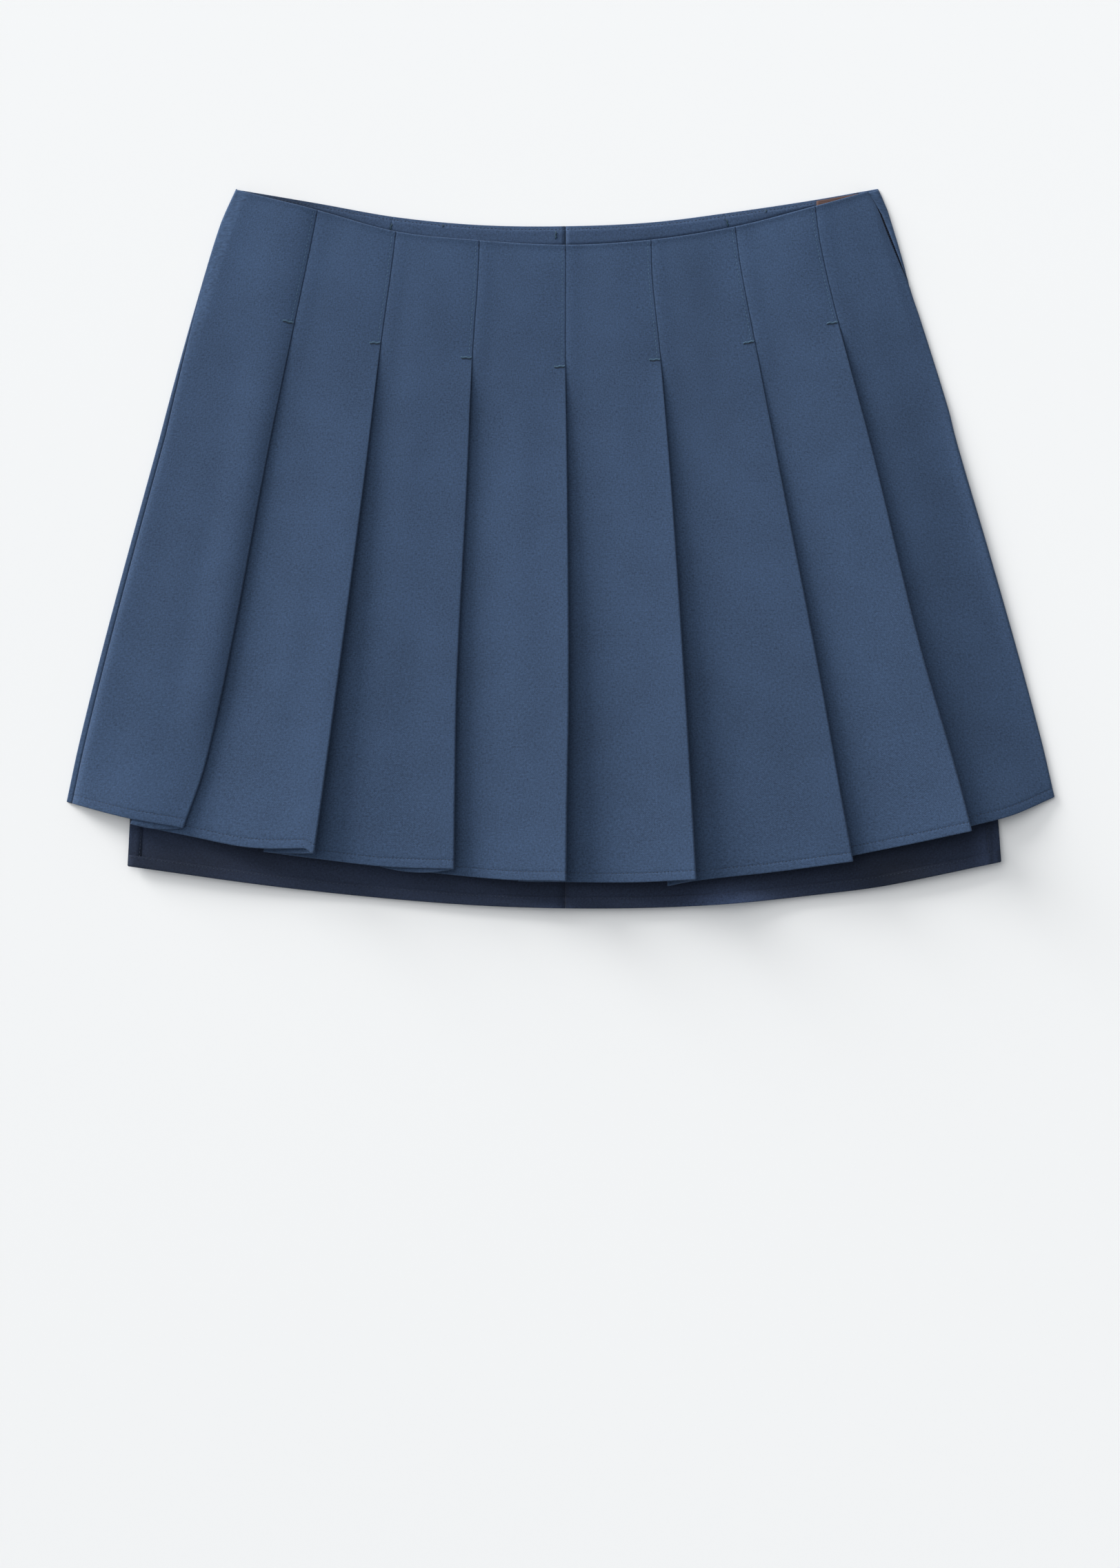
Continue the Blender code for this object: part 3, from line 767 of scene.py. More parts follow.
def moved(point, normal, out, y_by=0.0):
    return point[0] + normal[0] * out, point[1] + y_by, point[2] + normal[1] * out


TURN_ANGLES = (math.pi / 4, math.pi / 2, 3 * math.pi / 4)
TURN_SHARES = (0.0, 0.2, 0.45, 0.7, 0.9, 1.0)


def turned_rows(rows, way, out, radius, depth, lifts=None, thin=None):
    """Rows that turn a hem or a waist edge over: round its edge, then back along the cloth.

    The first of rows is the edge and the others lead away from it. way is +1 where the
    edge faces +Y, and out is +1 where the cloth turns to the side of the rows' normals.
    lifts adds to that side and thin holds it back, one number for each column.
    """
    edge_normals = normals_of(rows[0])
    lifts = lifts or [0.0] * len(rows[0])
    thin = thin or [1.0] * len(rows[0])
    turned = []
    for angle in TURN_ANGLES:
        away = radius * (1 - math.cos(angle))
        along = way * radius * math.sin(angle)
        turned.append([moved(p, n, out * hold * (away + lift * away / (2 * radius)), along)
                       for p, n, lift, hold in zip(rows[0], edge_normals, lifts, thin)])
    for share in TURN_SHARES:
        row = row_at(rows, depth * share)
        turned.append([moved(p, n, out * hold * (2 * radius + lift))
                       for p, n, lift, hold in zip(row, normals_of(row), lifts, thin)])
    return turned


def row_at(rows, distance):
    """The row at a distance in from the first of rows, measured down each column."""
    found = []
    for column in range(len(rows[0])):
        left = distance
        for first, second in zip(rows, rows[1:]):
            a, b = first[column], second[column]
            span = abs(b[1] - a[1])
            if left <= span or second is rows[-1]:
                share = left / span if span else 0.0
                found.append(tuple(lerp(p, q, share) for p, q in zip(a, b)))
                break
            left -= span
    return found


# Rows of the front: millimetres from the waist edge, from the hem's edge, and up from the
# hem's stitches, and the step of the even rows between.
FRONT_TOP_ROWS = (0.0, 0.5, 1.3, 2.6, 5.0, 8.0)
FRONT_HEM_ROWS = (0.0, 0.5, 1.3, 2.6)
FRONT_STITCH_ROWS = (-0.9, -0.35, 0.0, 0.35, 1.0, 2.4, 5.0)
FRONT_ROW_STEP = 5.6


def front_rows(skirt, sizes):
    """(rows of (x, y, z), their heights, the row of the hem's stitches)."""
    stitch = sizes.hem_stitch / MM - skirt.inset
    near_hem = (*FRONT_HEM_ROWS, *[stitch + up for up in FRONT_STITCH_ROWS])
    heights = [place / DROP for place in
               spaced_rows(DROP, FRONT_TOP_ROWS, near_hem, FRONT_ROW_STEP)]
    section = [[skirt.front_point(column, height) for column in skirt.front_columns]
               for height in heights]
    grid = []
    for height, row in zip(heights, section):
        points = []
        for column, point in enumerate(row):
            top = section[0][column].waist_y - skirt.inset
            bottom = section[-1][column].hem_y + skirt.inset
            rise = smooth_at(point.x, FRONT_RISE) * (1.0 - ease(height, 0.0, RISE_END))
            points.append((point.x, lerp(top, bottom, height) + rise, point.z))
        grid.append(points)
    return grid, heights, len(heights) - 1 - near_hem.index(stitch)


WAVE_FADE = 0.03                       # the waves fade out this near to the waist edge
HEM_PULLS = (0.45, 1.0, 0.45)          # of the groove, in the rows above, at and below it
FOLD_PULL = 0.4                        # of the groove, at the stitches of a fold
SEAM_PULL = 0.12                       # at the two side seams


def front_relief(skirt, sizes, grid, heights, stitch_row):
    """The front's rows with their unevenness, and the pull of the stitches and seams."""
    groove = sizes.groove / MM
    amount = sizes.unevenness / MM
    stitch = sizes.edge_stitch / MM
    relief = []
    last = len(skirt.front_columns) - 1
    for number, (height, row) in enumerate(zip(heights, grid)):
        normals = normals_of(row)
        fade = ease(height, 0.0, WAVE_FADE)
        points = []
        for index, (point, normal) in enumerate(zip(row, normals)):
            stretch, _, place = skirt.front_columns[index]
            x, y, z = point
            rim = 1.0
            for side in SIDE_EDGES:
                inward = side * (skirt.side_arc(side, height)[0] - x)
                rim *= 1.0 - math.exp(-max(inward, 0.0) / RIM)
            z += rim * (swell_at(SWELLS, x, y) + amount * fade * uneven(x, y))
            z += WAIST_CURL * rim * (1.0 - ease(grid[0][index][1] - y, 0.0, CURL_DEPTH))
            out = 0.0
            if abs(number - stitch_row) <= 1:
                out -= groove * HEM_PULLS[number - stitch_row + 1]
            if stretch == "to_fold" and place == stitch and height < TACK_HEIGHT:
                out -= FOLD_PULL * groove
            if index in (0, last):
                out -= SEAM_PULL
            points.append(moved((x, y, z), normal, out))
        relief.append(points)
    return relief


# ------------------------------------------------------------------ meshes

def smooth_object(name, sheet, materials, context):
    """A named object in the scene from a bmesh of millimetres."""
    bmesh.ops.scale(sheet, vec=(MM, MM, MM), verts=sheet.verts)
    mesh = bpy.data.meshes.new(name)
    sheet.to_mesh(mesh)
    sheet.free()
    mesh.shade_smooth()
    for material in materials:
        mesh.materials.append(material)
    made = bpy.data.objects.new(name, mesh)
    context.scene.collection.objects.link(made)
    return made


def trim_object(name, sheet, material, context):
    """Thread, tacks or teeth: a piece that has no solid of its own."""
    made = smooth_object(name, sheet, [material], context)
    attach(made, "root")


def add_grid(sheet, rows, layer, flip, slot):
    """Faces between rows of points, in a material slot. The UVs are metres of cloth."""
    middle = rows[len(rows) // 2]
    across = [0.0]
    for before, after in zip(middle, middle[1:]):
        across.append(across[-1] + math.dist(before, after))
    made = [[sheet.verts.new(point) for point in row] for row in rows]
    for upper, lower in zip(made, made[1:]):
        for column in range(len(upper) - 1):
            corners = [upper[column], lower[column], lower[column + 1], upper[column + 1]]
            places = [column, column, column + 1, column + 1]
            if flip:
                corners.reverse()
                places.reverse()
            face = sheet.faces.new(corners)
            face.material_index = slot
            for loop, place in zip(face.loops, places):
                loop[layer].uv = (across[place] * MM, loop.vert.co.y * MM)


MERGE = 0.001                          # points of two grids this near are one


def cloth_object(name, grids, thickness, materials, context, flip=False):
    """A shell of cloth through one or more grids that share edges, each with its material."""
    sheet = bmesh.new()
    layer = sheet.loops.layers.uv.new("cloth")
    for rows, slot in grids:
        add_grid(sheet, rows, layer, flip, slot)
    bmesh.ops.remove_doubles(sheet, verts=sheet.verts, dist=MERGE)
    made = smooth_object(name, sheet, materials, context)
    wall = made.modifiers.new("cloth", "SOLIDIFY")
    wall.thickness = thickness * MM
    wall.offset = 0.0
    wall.material_offset = len(materials) - 1
    return made


STRAND_SIDES = 5
STRAND_END = 0.45                      # a strand's radius at its ends, as a share
NEARLY_UPRIGHT = 0.2                   # a strand's way with a shorter cross product is upright


def add_strand(sheet, path, radius):
    """A short closed strand of thread along a path of points, tapered at both ends."""
    rings = []
    last = len(path) - 1
    for index, point in enumerate(path):
        before, after = path[max(index - 1, 0)], path[min(index + 1, last)]
        along = (Vector(after) - Vector(before)).normalized()
        side = along.cross(Vector(UP))
        if side.length < NEARLY_UPRIGHT:
            side = along.cross(Vector((1.0, 0.0, 0.0)))
        side.normalize()
        up = side.cross(along)
        wide = radius * (STRAND_END if index in (0, last) else 1.0)
        ring = []
        for corner in range(STRAND_SIDES):
            angle = 2 * math.pi * corner / STRAND_SIDES
            offset = side * math.cos(angle) * wide + up * math.sin(angle) * wide
            ring.append(sheet.verts.new(Vector(point) + offset))
        rings.append(ring)
    for first, second in zip(rings, rings[1:]):
        for corner in range(STRAND_SIDES):
            following = (corner + 1) % STRAND_SIDES
            sheet.faces.new((first[corner], first[following], second[following], second[corner]))
    sheet.faces.new(list(reversed(rings[0])))
    sheet.faces.new(rings[-1])


ROUNDING = 1e-9


def walk(path, normals, start, end, count):
    """count (point, normal) pairs between two distances along a path."""
    found = []
    wanted = [lerp(start, end, share) for share in shares(count)]
    gone = 0.0
    for first, second, n1, n2 in zip(path, path[1:], normals, normals[1:]):
        span = math.dist(first, second)
        while wanted and wanted[0] <= gone + span + ROUNDING:
            share = (wanted[0] - gone) / span if span else 0.0
            found.append((Vector(first).lerp(Vector(second), share),
                          Vector(n1).lerp(Vector(n2), share).normalized()))
            wanted.pop(0)
        gone += span
    return found


SEW_MARGIN = 0.4                       # from the path's ends to the stitches
STITCH_RISES = (-0.6, 0.55, 0.55, -0.6)  # along one stitch, in radii of the thread


def sew(sheet, path, normals, sizes, lift, start=SEW_MARGIN):
    """A line of stitches along a path that lies in the middle of the cloth."""
    total = sum(math.dist(a, b) for a, b in zip(path, path[1:]))
    pitch, stitch = sizes.pitch / MM, sizes.stitch / MM
    radius = sizes.thread / MM / 2
    at = start
    while at + stitch < total - SEW_MARGIN:
        places = walk(path, normals, at, at + stitch, len(STITCH_RISES))
        points = [point + normal * (lift + rise * radius)
                  for (point, normal), rise in zip(places, STITCH_RISES)]
        if len(points) == len(STITCH_RISES):
            add_strand(sheet, points, radius)
        at += pitch


# ------------------------------------------------------------------ shader expressions

class Wire:
    """A socket of a shader. Sums and products of wires and numbers add Math nodes."""

    def __init__(self, shader, socket):
        self.shader = shader
        self.socket = socket

    def math(self, operation, first, second=None):
        values = {0: first} if second is None else {0: first, 1: second}
        return self.shader.node("ShaderNodeMath", {"operation": operation}, values)

    def __add__(self, other):
        return self.math("ADD", self, other)

    __radd__ = __add__

    def __sub__(self, other):
        return self.math("SUBTRACT", self, other)

    def __rsub__(self, other):
        return self.math("SUBTRACT", other, self)

    def __mul__(self, other):
        return self.math("MULTIPLY", self, other)

    __rmul__ = __mul__

    def __neg__(self):
        return self.math("MULTIPLY", self, -1.0)

    def __rpow__(self, other):
        return self.math("POWER", other, self)

    def sine(self):
        return self.math("SINE", self)


class Shader:
    """A material whose nodes are added one by one."""

    def __init__(self, name, roughness):
        self.material = bpy.data.materials.new(name)
        self.material.use_nodes = True
        self.tree = self.material.node_tree
        self.surface = self.tree.nodes["Principled BSDF"]
        self.surface.inputs["Roughness"].default_value = roughness

    def feed(self, socket, value):
        """Links a wire to a socket, or sets the socket's own value."""
        if isinstance(value, Wire):
            self.tree.links.new(value.socket, socket)
        elif isinstance(value, (tuple, list)) and socket.type == "RGBA" and len(value) == 3:
            socket.default_value = (*value, 1.0)
        else:
            socket.default_value = value

    def node(self, kind, settings=None, values=None, output=0):
        """A node of any kind: its settings first, then its sockets. Gives one output."""
        made = self.tree.nodes.new(kind)
        for name, value in (settings or {}).items():
            setattr(made, name, value)
        for socket, value in (values or {}).items():
            self.feed(made.inputs[socket], value)
        return Wire(self, made.outputs[output])

    def mix(self, factor, first, second):
        """A colour between two colours."""
        return self.node("ShaderNodeMix", {"data_type": "RGBA"},
                         {0: factor, 6: first, 7: second}, 2)

    def noise(self, place, scale, detail=2.0, roughness=0.5):
        """Noise from 0 to 1 with features 1 / scale metres across."""
        return self.node("ShaderNodeTexNoise", {"noise_dimensions": "3D"},
                         {"Vector": place, "Scale": scale, "Detail": detail,
                          "Roughness": roughness})

    def stretched(self, place, factors):
        return self.node("ShaderNodeVectorMath", {"operation": "MULTIPLY"},
                         {0: place, 1: factors})

    def part(self, place, axis):
        return self.node("ShaderNodeSeparateXYZ", None, {0: place}, axis)

    def set(self, **values):
        for name, value in values.items():
            self.feed(self.surface.inputs[name.replace("_", " ")], value)

    def bump(self, height, strength, distance):
        self.set(Normal=self.node("ShaderNodeBump", None, {
            "Strength": strength, "Distance": distance, "Height": height}))


def scaled(rgb, factor):
    return tuple(min(channel * factor, 1.0) for channel in rgb)


OBJECT_PLACE = 3                       # the output of Texture Coordinate


def object_place(shader):
    return shader.node("ShaderNodeTexCoord", None, None, OBJECT_PLACE)


def painted_light_over(shader, painted_patches):
    """1 over the whole skirt, raised in each patch of painted light and lowered in each patch of
    painted shade.
    """
    place = object_place(shader)
    x, y = shader.part(place, 0), shader.part(place, 1)
    total = 1.0
    for tone in painted_patches:
        across = (x - tone.x * MM) * (1.0 / (tone.wide * MM))
        along = (y - tone.y * MM) * (1.0 / (tone.long * MM))
        total = total + math.e ** -(across * across + along * along) * tone.share
    return total


def twill(name, rgb, pitch, painted_patches):
    """Fine matte twill: slanted ribs, uneven yarns, and soft patches of painted light and shade.
    """
    yarn_scale, grain_scale, patch_scale = 1300.0, 900.0, 32.0
    shader = Shader(name, 0.86)
    cloth = shader.node("ShaderNodeUVMap", {"uv_map": "cloth"})
    across, down = shader.part(cloth, 0), shader.part(cloth, 1)
    turn = 2 * math.pi / pitch
    ribs = ((across + down) * turn).sine()
    picks = ((across - down) * (turn * 0.5)).sine()
    warp = shader.noise(shader.stretched(cloth, (1.0, 0.4, 1.0)), yarn_scale, 2.0, 0.6) - 0.5
    weft = shader.noise(shader.stretched(cloth, (0.4, 1.0, 1.0)), yarn_scale, 2.0, 0.6) - 0.5
    yarns = warp + weft
    grain = shader.noise(cloth, grain_scale, 2.0, 0.7) - 0.5
    patches = shader.noise(cloth, patch_scale, 3.0, 0.55) - 0.5
    tone = yarns * 1.2 + grain * 1.4 + patches * 0.5 + ribs * 0.05 + 0.5
    plain = shader.mix(tone, scaled(rgb, 0.66), scaled(rgb, 1.34))
    # The colour is scaled by the patches of painted light and shade.
    shader.set(Base_Color=shader.node("ShaderNodeVectorMath", {"operation": "SCALE"},
                                      {"Vector": plain, "Scale": painted_light_over(shader, painted_patches)}))
    shader.bump(ribs * 0.5 + picks * 0.25 + yarns * 0.8 + grain, 0.35, 0.18 * MM)
    shader.set(Sheen_Weight=0.10, Sheen_Roughness=0.45, Specular_IOR_Level=0.22)
    return shader.material


def plain_thread(name, rgb):
    """Twisted thread: fine slanted strands."""
    strand_scale, fuzz_scale = 16000.0, 3000.0
    shader = Shader(name, 0.6)
    place = object_place(shader)
    strands = ((shader.part(place, 0) + shader.part(place, 1)) * strand_scale).sine()
    fuzz = shader.noise(place, fuzz_scale)
    shader.set(Base_Color=shader.mix(strands * 0.2 + fuzz * 0.6 + 0.2,
                                     scaled(rgb, 0.8), scaled(rgb, 1.2)))
    shader.bump(strands, 0.25, 0.05 * MM)
    return shader.material


def ribbon(name, rgb, rib):
    """Narrow woven tape or ribbon, with ribs across it."""
    fuzz_scale = 1800.0
    shader = Shader(name, 0.7)
    place = object_place(shader)
    ribs = (shader.part(place, 1) * (2 * math.pi / rib)).sine()
    warp = (shader.part(place, 0) * (2 * math.pi / rib)).sine()
    fuzz = shader.noise(place, fuzz_scale, 2.0, 0.6)
    shader.set(Base_Color=shader.mix(ribs * 0.2 + fuzz * 0.6 + 0.2,
                                     scaled(rgb, 0.75), scaled(rgb, 1.25)))
    shader.bump(ribs + warp * 0.5, 0.4, 0.1 * MM)
    return shader.material


def pale_floor(name, rgb):
    """Smooth pale paper with faint clouds, a little lighter towards the waist as painted light
    fall-off.
    """
    shader = Shader(name, 0.9)
    place = object_place(shader)
    painted_falloff_and_clouds = shader.part(place, 1) * 0.55 + shader.noise(place, 2.0, 1.0) * 0.1 + 0.45
    shader.set(Base_Color=shader.mix(painted_falloff_and_clouds, scaled(rgb, 0.97), scaled(rgb, 1.03)))
    shader.set(Specular_IOR_Level=0.0)
    return shader.material


# ------------------------------------------------------------------ operators

def cloth_materials(context):
    """The twill's face and its inside, made once; the inside's darker colour is partly painted
    shade.
    """
    sizes, colours = context.scene.skirt_sizes, context.scene.skirt_colours
    names = ("twill_face", "twill_inside")
    if names[0] not in bpy.data.materials:
        twill(names[0], tuple(colours.face), sizes.weave, FACE_PAINTED_LIGHT)
        twill(names[1], tuple(colours.inside), sizes.weave, INSIDE_PAINTED_LIGHT)
    return [bpy.data.materials[name] for name in names]


def thread_material(name, rgb):
    """A thread by its name, made once."""
    if name not in bpy.data.materials:
        plain_thread(name, tuple(rgb))
    return bpy.data.materials[name]


class SKIRT_OT_front(bpy.types.Operator):
    """The front: one width of cloth with seven knife pleats, its hem and its sewing"""
    bl_idname = "skirt.front"
    bl_label = "Pleated front"
    bl_options = {"REGISTER", "UNDO"}

    HIDDEN_THIN = 0.05                 # the waist's turn lies this flat inside a pleat
    SEWN_START = 1.0                   # from the waist edge to a fold's first stitch
    WRAPS = 14                         # of thread, side by side, in a bar tack
    WRAP_RADIUS = 1.3                  # as a share of the thread's
    WRAP_LIFT = 1.6                    # of a wrap's middle, in its own radii
    WRAP_SLANTS = (0.15, 0.0, -0.1, -0.25)
    WRAP_WOBBLE = (0.2, 11.0)          # to and fro, and turn over the bar's length
    BAR_END = 0.1                      # from the fold's edge to the bar
    # A dark strand below the wraps is a painted shadow of the bar tack.
    SHADOW_ASIDE = 0.2                    # it shows this far below the wraps
    SHADOW_RADIUS = 1.4                   # as a share of the wraps'

    def execute(self, context):
        sizes, colours = context.scene.skirt_sizes, context.scene.skirt_colours
        skirt = form(context)
        grid, heights, stitch_row = front_rows(skirt, sizes)
        grid = front_relief(skirt, sizes, grid, heights, stitch_row)
        self.sew_hem(context, sizes, colours, grid[stitch_row])
        self.sew_folds(context, sizes, colours, grid, heights)
        seen = ("left_side", "from_fold", "panel", "to_fold", "right_side")
        thin = [1.0 if stretch in seen else self.HIDDEN_THIN
                for stretch, _, _ in skirt.front_columns]
        waist = turned_rows(grid, 1, -1, skirt.turn, sizes.waist_turn / MM, thin=thin)
        hem = turned_rows(grid[::-1], -1, -1, skirt.turn, sizes.hem / MM)
        rows = list(reversed(waist)) + grid + hem
        front = cloth_object("front_cloth", [(rows, 0)], skirt.cloth,
                             cloth_materials(context), context)
        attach(front, "root")
        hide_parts("front_panel")
        return {"FINISHED"}

    def sew_hem(self, context, sizes, colours, row):
        sheet = bmesh.new()
        normals = [(n[0], 0.0, n[1]) for n in normals_of(row)]
        sew(sheet, row, normals, sizes, sizes.cloth / MM / 2)
        trim_object("front_hem_stitches", sheet,
                    thread_material("sewing_thread", colours.thread), context)

    def sew_folds(self, context, sizes, colours, grid, heights):
        """Stitches down the edge of each fold, and the bar tack at their foot with a dark strand
        below it as a painted shadow.
        """
        skirt = form(context)
        stitch = sizes.edge_stitch / MM
        lift = sizes.cloth / MM / 2
        edge_sheet, tack_sheet, shadow_sheet = bmesh.new(), bmesh.new(), bmesh.new()
        for index in range(len(PLEATS)):
            column = skirt.front_columns.index(("to_fold", index, stitch))
            foot_height = TACK_HEIGHT + TACK_DROPS[index] / DROP
            below = min(i for i, height in enumerate(heights) if height > foot_height)
            share = (foot_height - heights[below - 1]) / (heights[below] - heights[below - 1])
            foot_row = [Vector(a).lerp(Vector(b), share)
                        for a, b in zip(grid[below - 1], grid[below])]
            path = [Vector(row[column]) for row in grid[:below]] + [foot_row[column]]
            sew(edge_sheet, path, [UP] * len(path), sizes, lift, self.SEWN_START)
            cloth = [foot_row[number] for number, (stretch, of, _)
                     in enumerate(skirt.front_columns) if stretch == "to_fold" and of == index]
            self.bar_tack(tack_sheet, shadow_sheet, sizes, cloth, foot_row[column], index)
        dark = thread_material("sewing_thread", colours.thread)
        light = thread_material("tack_thread", colours.tack)
        trim_object("fold_stitches", edge_sheet, light, context)
        trim_object("bar_tacks", tack_sheet, light, context)
        trim_object("bar_tack_cores", shadow_sheet, dark, context)

    def bar_tack(self, wraps, shadow_strands, sizes, cloth, foot, index):
        """Close wraps along a bar that runs in from the fold's edge, over the cloth, and a dark
        strand of painted shadow below them.
        """
        long, wide = sizes.tack / MM, sizes.tack_width / MM
        radius = self.WRAP_RADIUS * sizes.thread / MM / 2
        surface = tuple((point.x, point.z + sizes.cloth / MM / 2) for point in cloth)
        places = (wide / 2, wide / 6, -wide / 6, -wide / 2)
        lifts = (0.0, self.WRAP_LIFT * radius, self.WRAP_LIFT * radius, 0.0)
        wobble, turn = self.WRAP_WOBBLE
        bar = []
        for share in shares(self.WRAPS):
            x = foot.x + sizes.edge_stitch / MM - self.BAR_END - long * share
            y = foot.y + TACK_SLANTS[index] * share + wobble * math.sin(share * turn + index)
            z = smooth_at(x, surface)
            bar.append((x, y - wide / 2 - self.SHADOW_ASIDE, z))
            add_strand(wraps, [(x + slant, y + place, z + lift) for slant, place, lift
                               in zip(self.WRAP_SLANTS, places, lifts)], radius)
        # The dark strand below the wraps is painted shadow.
        add_strand(shadow_strands, bar, self.SHADOW_RADIUS * radius)


class SKIRT_OT_back(bpy.types.Operator):
    """The two halves of the back, with their stepped and turned hem"""
    bl_idname = "skirt.back"
    bl_label = "Back"
    bl_options = {"REGISTER", "UNDO"}

    FLAT_COUNT = 46                    # columns from the centre seam to the step's edge
    FLAT_POWER = 1.15                  # they are closer towards the side
    UNDER_COUNT = 5                    # columns from there to the turn round the side
    TURN_COUNT = 15
    TOP_ROWS = (0.0, 0.6, 2.0, 5.0)    # millimetres from the waist edge
    STEP_ROWS = (0.0, 1.5, 4.0)        # and from the step
    ROW_STEP = 8.0
    TAIL_SHARES = (0.12, 0.25, 0.38, 0.5, 0.6, 0.7, 0.78, 0.84, 0.9, 0.95, 0.98, 1.0)
    WAIST_TURN = 5.0
    UNDER_TURN = 5.5
    LIFT_WIDTH = 1.5                   # over which the hem climbs on the turned side edge
    EDGE_COLUMNS = (1.5, 4.0)
    HEM_SEAM = 1.0                     # the hem's stitches lie this far in from its fold
    EDGE_SEAM = 0.8

    def execute(self, context):
        sizes, colours = context.scene.skirt_sizes, context.scene.skirt_colours
        skirt = form(context)
        stitches = bmesh.new()
        for side, name in ((-1, "left"), (1, "right")):
            grids = self.grids(skirt, sizes, side, stitches)
            back = cloth_object(f"back_cloth_{name}", grids, skirt.cloth,
                                cloth_materials(context), context, flip=side > 0)
            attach(back, "root")
            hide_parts(f"back_panel_{name}")
        trim_object("back_hem_stitches", stitches,
                    thread_material("sewing_thread", colours.thread), context)
        return {"FINISHED"}

    def flat_columns(self):
        return [1.0 - (1.0 - share) ** self.FLAT_POWER for share in shares(self.FLAT_COUNT)]

    def raised(self, skirt, x, y):
        """The back lies on the table, and its hem lifts a little here and there."""
        return skirt.back_level + max(swell_at(BACK_SWELLS, x, y), 0.0)

    def grids(self, skirt, sizes, side, stitches):
        """Half of the back in parts, each with its material: the flat cloth down to the step,
        the tail below it, and the turned hem, side hem and side edge.
        """
        heights = [place / DROP for place in
                   spaced_rows(DROP, self.TOP_ROWS, self.STEP_ROWS, self.ROW_STEP)]
        section = [self.section(skirt, side, height) for height in heights]
        rows = []
        for height, row in zip(heights, section):
            rows.append([(p.x, lerp(section[0][c].waist_y - skirt.inset,
                                    section[-1][c].hem_y, height), p.z)
                         for c, p in enumerate(row)])
        corner = self.FLAT_COUNT - 1
        step, under = rows[-1][:corner + 1], rows[-1][corner:]
        tail = self.tail_rows(skirt, side, step)
        edge_hem = sizes.side_hem / MM
        lifts = [2 * skirt.turn * (1 - ease(abs(STEP_X[side] - p[0]), edge_hem,
                                            edge_hem + self.LIFT_WIDTH)) for p in tail[-1]]
        waist = turned_rows(rows, 1, side, skirt.turn, self.WAIST_TURN)
        hem = turned_rows(tail[::-1], -1, side, skirt.turn, sizes.hem / MM, lifts)
        under_rows = [row[corner:] for row in reversed(rows)]
        under_hem = turned_rows(under_rows, -1, side, skirt.turn, self.UNDER_TURN)
        self.sew_hem(stitches, sizes, hem[-1])
        self.sew_edge(stitches, skirt, sizes, tail, side)
        # The turned hem, the hem under the side and the turned side edge take the inside's darker
        # colour as painted shade under the front's hem.
        return [(list(reversed(waist)) + rows, 0), ([step] + tail, 0),
                ([tail[-1]] + hem, 1), ([under] + under_hem, 1),
                (self.turned_edge(skirt, sizes, [step] + tail, side), 1)]

    def section(self, skirt, side, height):
        """Points across half of the back, from the centre seam to the side seam."""
        centre = CENTRE_SEAM + side * skirt.SEAM_GAP / 2
        reach = skirt.side_point(side, height, -skirt.BACK_REACH)[0]
        hem_reach = skirt.side_point(side, 1.0, -skirt.BACK_REACH)[0]
        step_share = (STEP_X[side] - centre) / (hem_reach - centre)
        corner = BACK_HEM[0][0] if side < 0 else BACK_HEM[-1][0]
        step_x = lerp(centre, reach, step_share)
        row = []
        for share in self.flat_columns():
            x = lerp(centre, step_x, share)
            hem_y = smooth_at(lerp(centre, corner, share), BACK_HEM) + STEP_HEIGHT
            row.append(Point(x, skirt.back_level, smooth_at(x, BACK_WAIST), hem_y))
        for share in shares(self.UNDER_COUNT)[1:-1]:
            x = lerp(step_x, reach, share)
            row.append(Point(x, skirt.back_level, smooth_at(x, BACK_WAIST),
                             skirt.side_hem_y(side, x, -skirt.BACK_REACH) + skirt.inset))
        if side < 0:
            seam = seam_at(height, "left") - skirt.SEAM_GAP / 2
        else:
            seam = seam_at(height, "right_back")
        for share in shares(self.TURN_COUNT):
            distance = skirt.side_distance(side, height, -skirt.BACK_REACH, seam, share)
            x, z = skirt.side_point(side, height, distance)
            waist = smooth_at(x, FRONT_WAIST if distance > 0 else BACK_WAIST)
            hem_y = skirt.side_hem_y(side, x, distance) + skirt.inset
            row.append(Point(x, z, waist, hem_y))
        return row

    def tail_rows(self, skirt, side, start):
        """Rows from the step down to the hem, denser near it."""
        centre = CENTRE_SEAM + side * skirt.SEAM_GAP / 2
        corner = BACK_HEM[0][0] if side < 0 else BACK_HEM[-1][0]
        rows = []
        for share in self.TAIL_SHARES:
            row = []
            for (x, y, _), place in zip(start, self.flat_columns()):
                end_x = lerp(centre, corner, place)
                end_y = smooth_at(end_x, BACK_HEM) + skirt.inset
                at_x, at_y = lerp(x, end_x, share), lerp(y, end_y, share)
                row.append((at_x, at_y, self.raised(skirt, at_x, at_y)))
            rows.append(row)
        return rows

    def turned_edge(self, skirt, sizes, rows, side):
        """The turned vertical edge of the step: a strip folded in over the tail."""
        radius = skirt.turn
        strip = []
        for row in rows:
            x, y, z = row[-1]
            points = [(x, y, z)]
            for angle in (*TURN_ANGLES, math.pi):
                points.append((x + side * radius * math.sin(angle), y,
                               z + radius * (1 - math.cos(angle))))
            for inward in (*self.EDGE_COLUMNS, sizes.side_hem / MM):
                points.append((x - side * inward, y, z + 2 * radius))
            strip.append(points)
        return strip

    def sew_hem(self, sheet, sizes, row):
        path = [(x, y - self.HEM_SEAM, z) for x, y, z in row]
        sew(sheet, path, [UP] * len(path), sizes, sizes.cloth / MM / 2)

    def sew_edge(self, sheet, skirt, sizes, tail, side):
        inward = sizes.side_hem / MM - self.EDGE_SEAM
        path = [(row[-1][0] - side * inward, row[-1][1], row[-1][2] + 2 * skirt.turn)
                for row in tail]
        sew(sheet, path, [UP] * len(path), sizes, sizes.cloth / MM / 2)


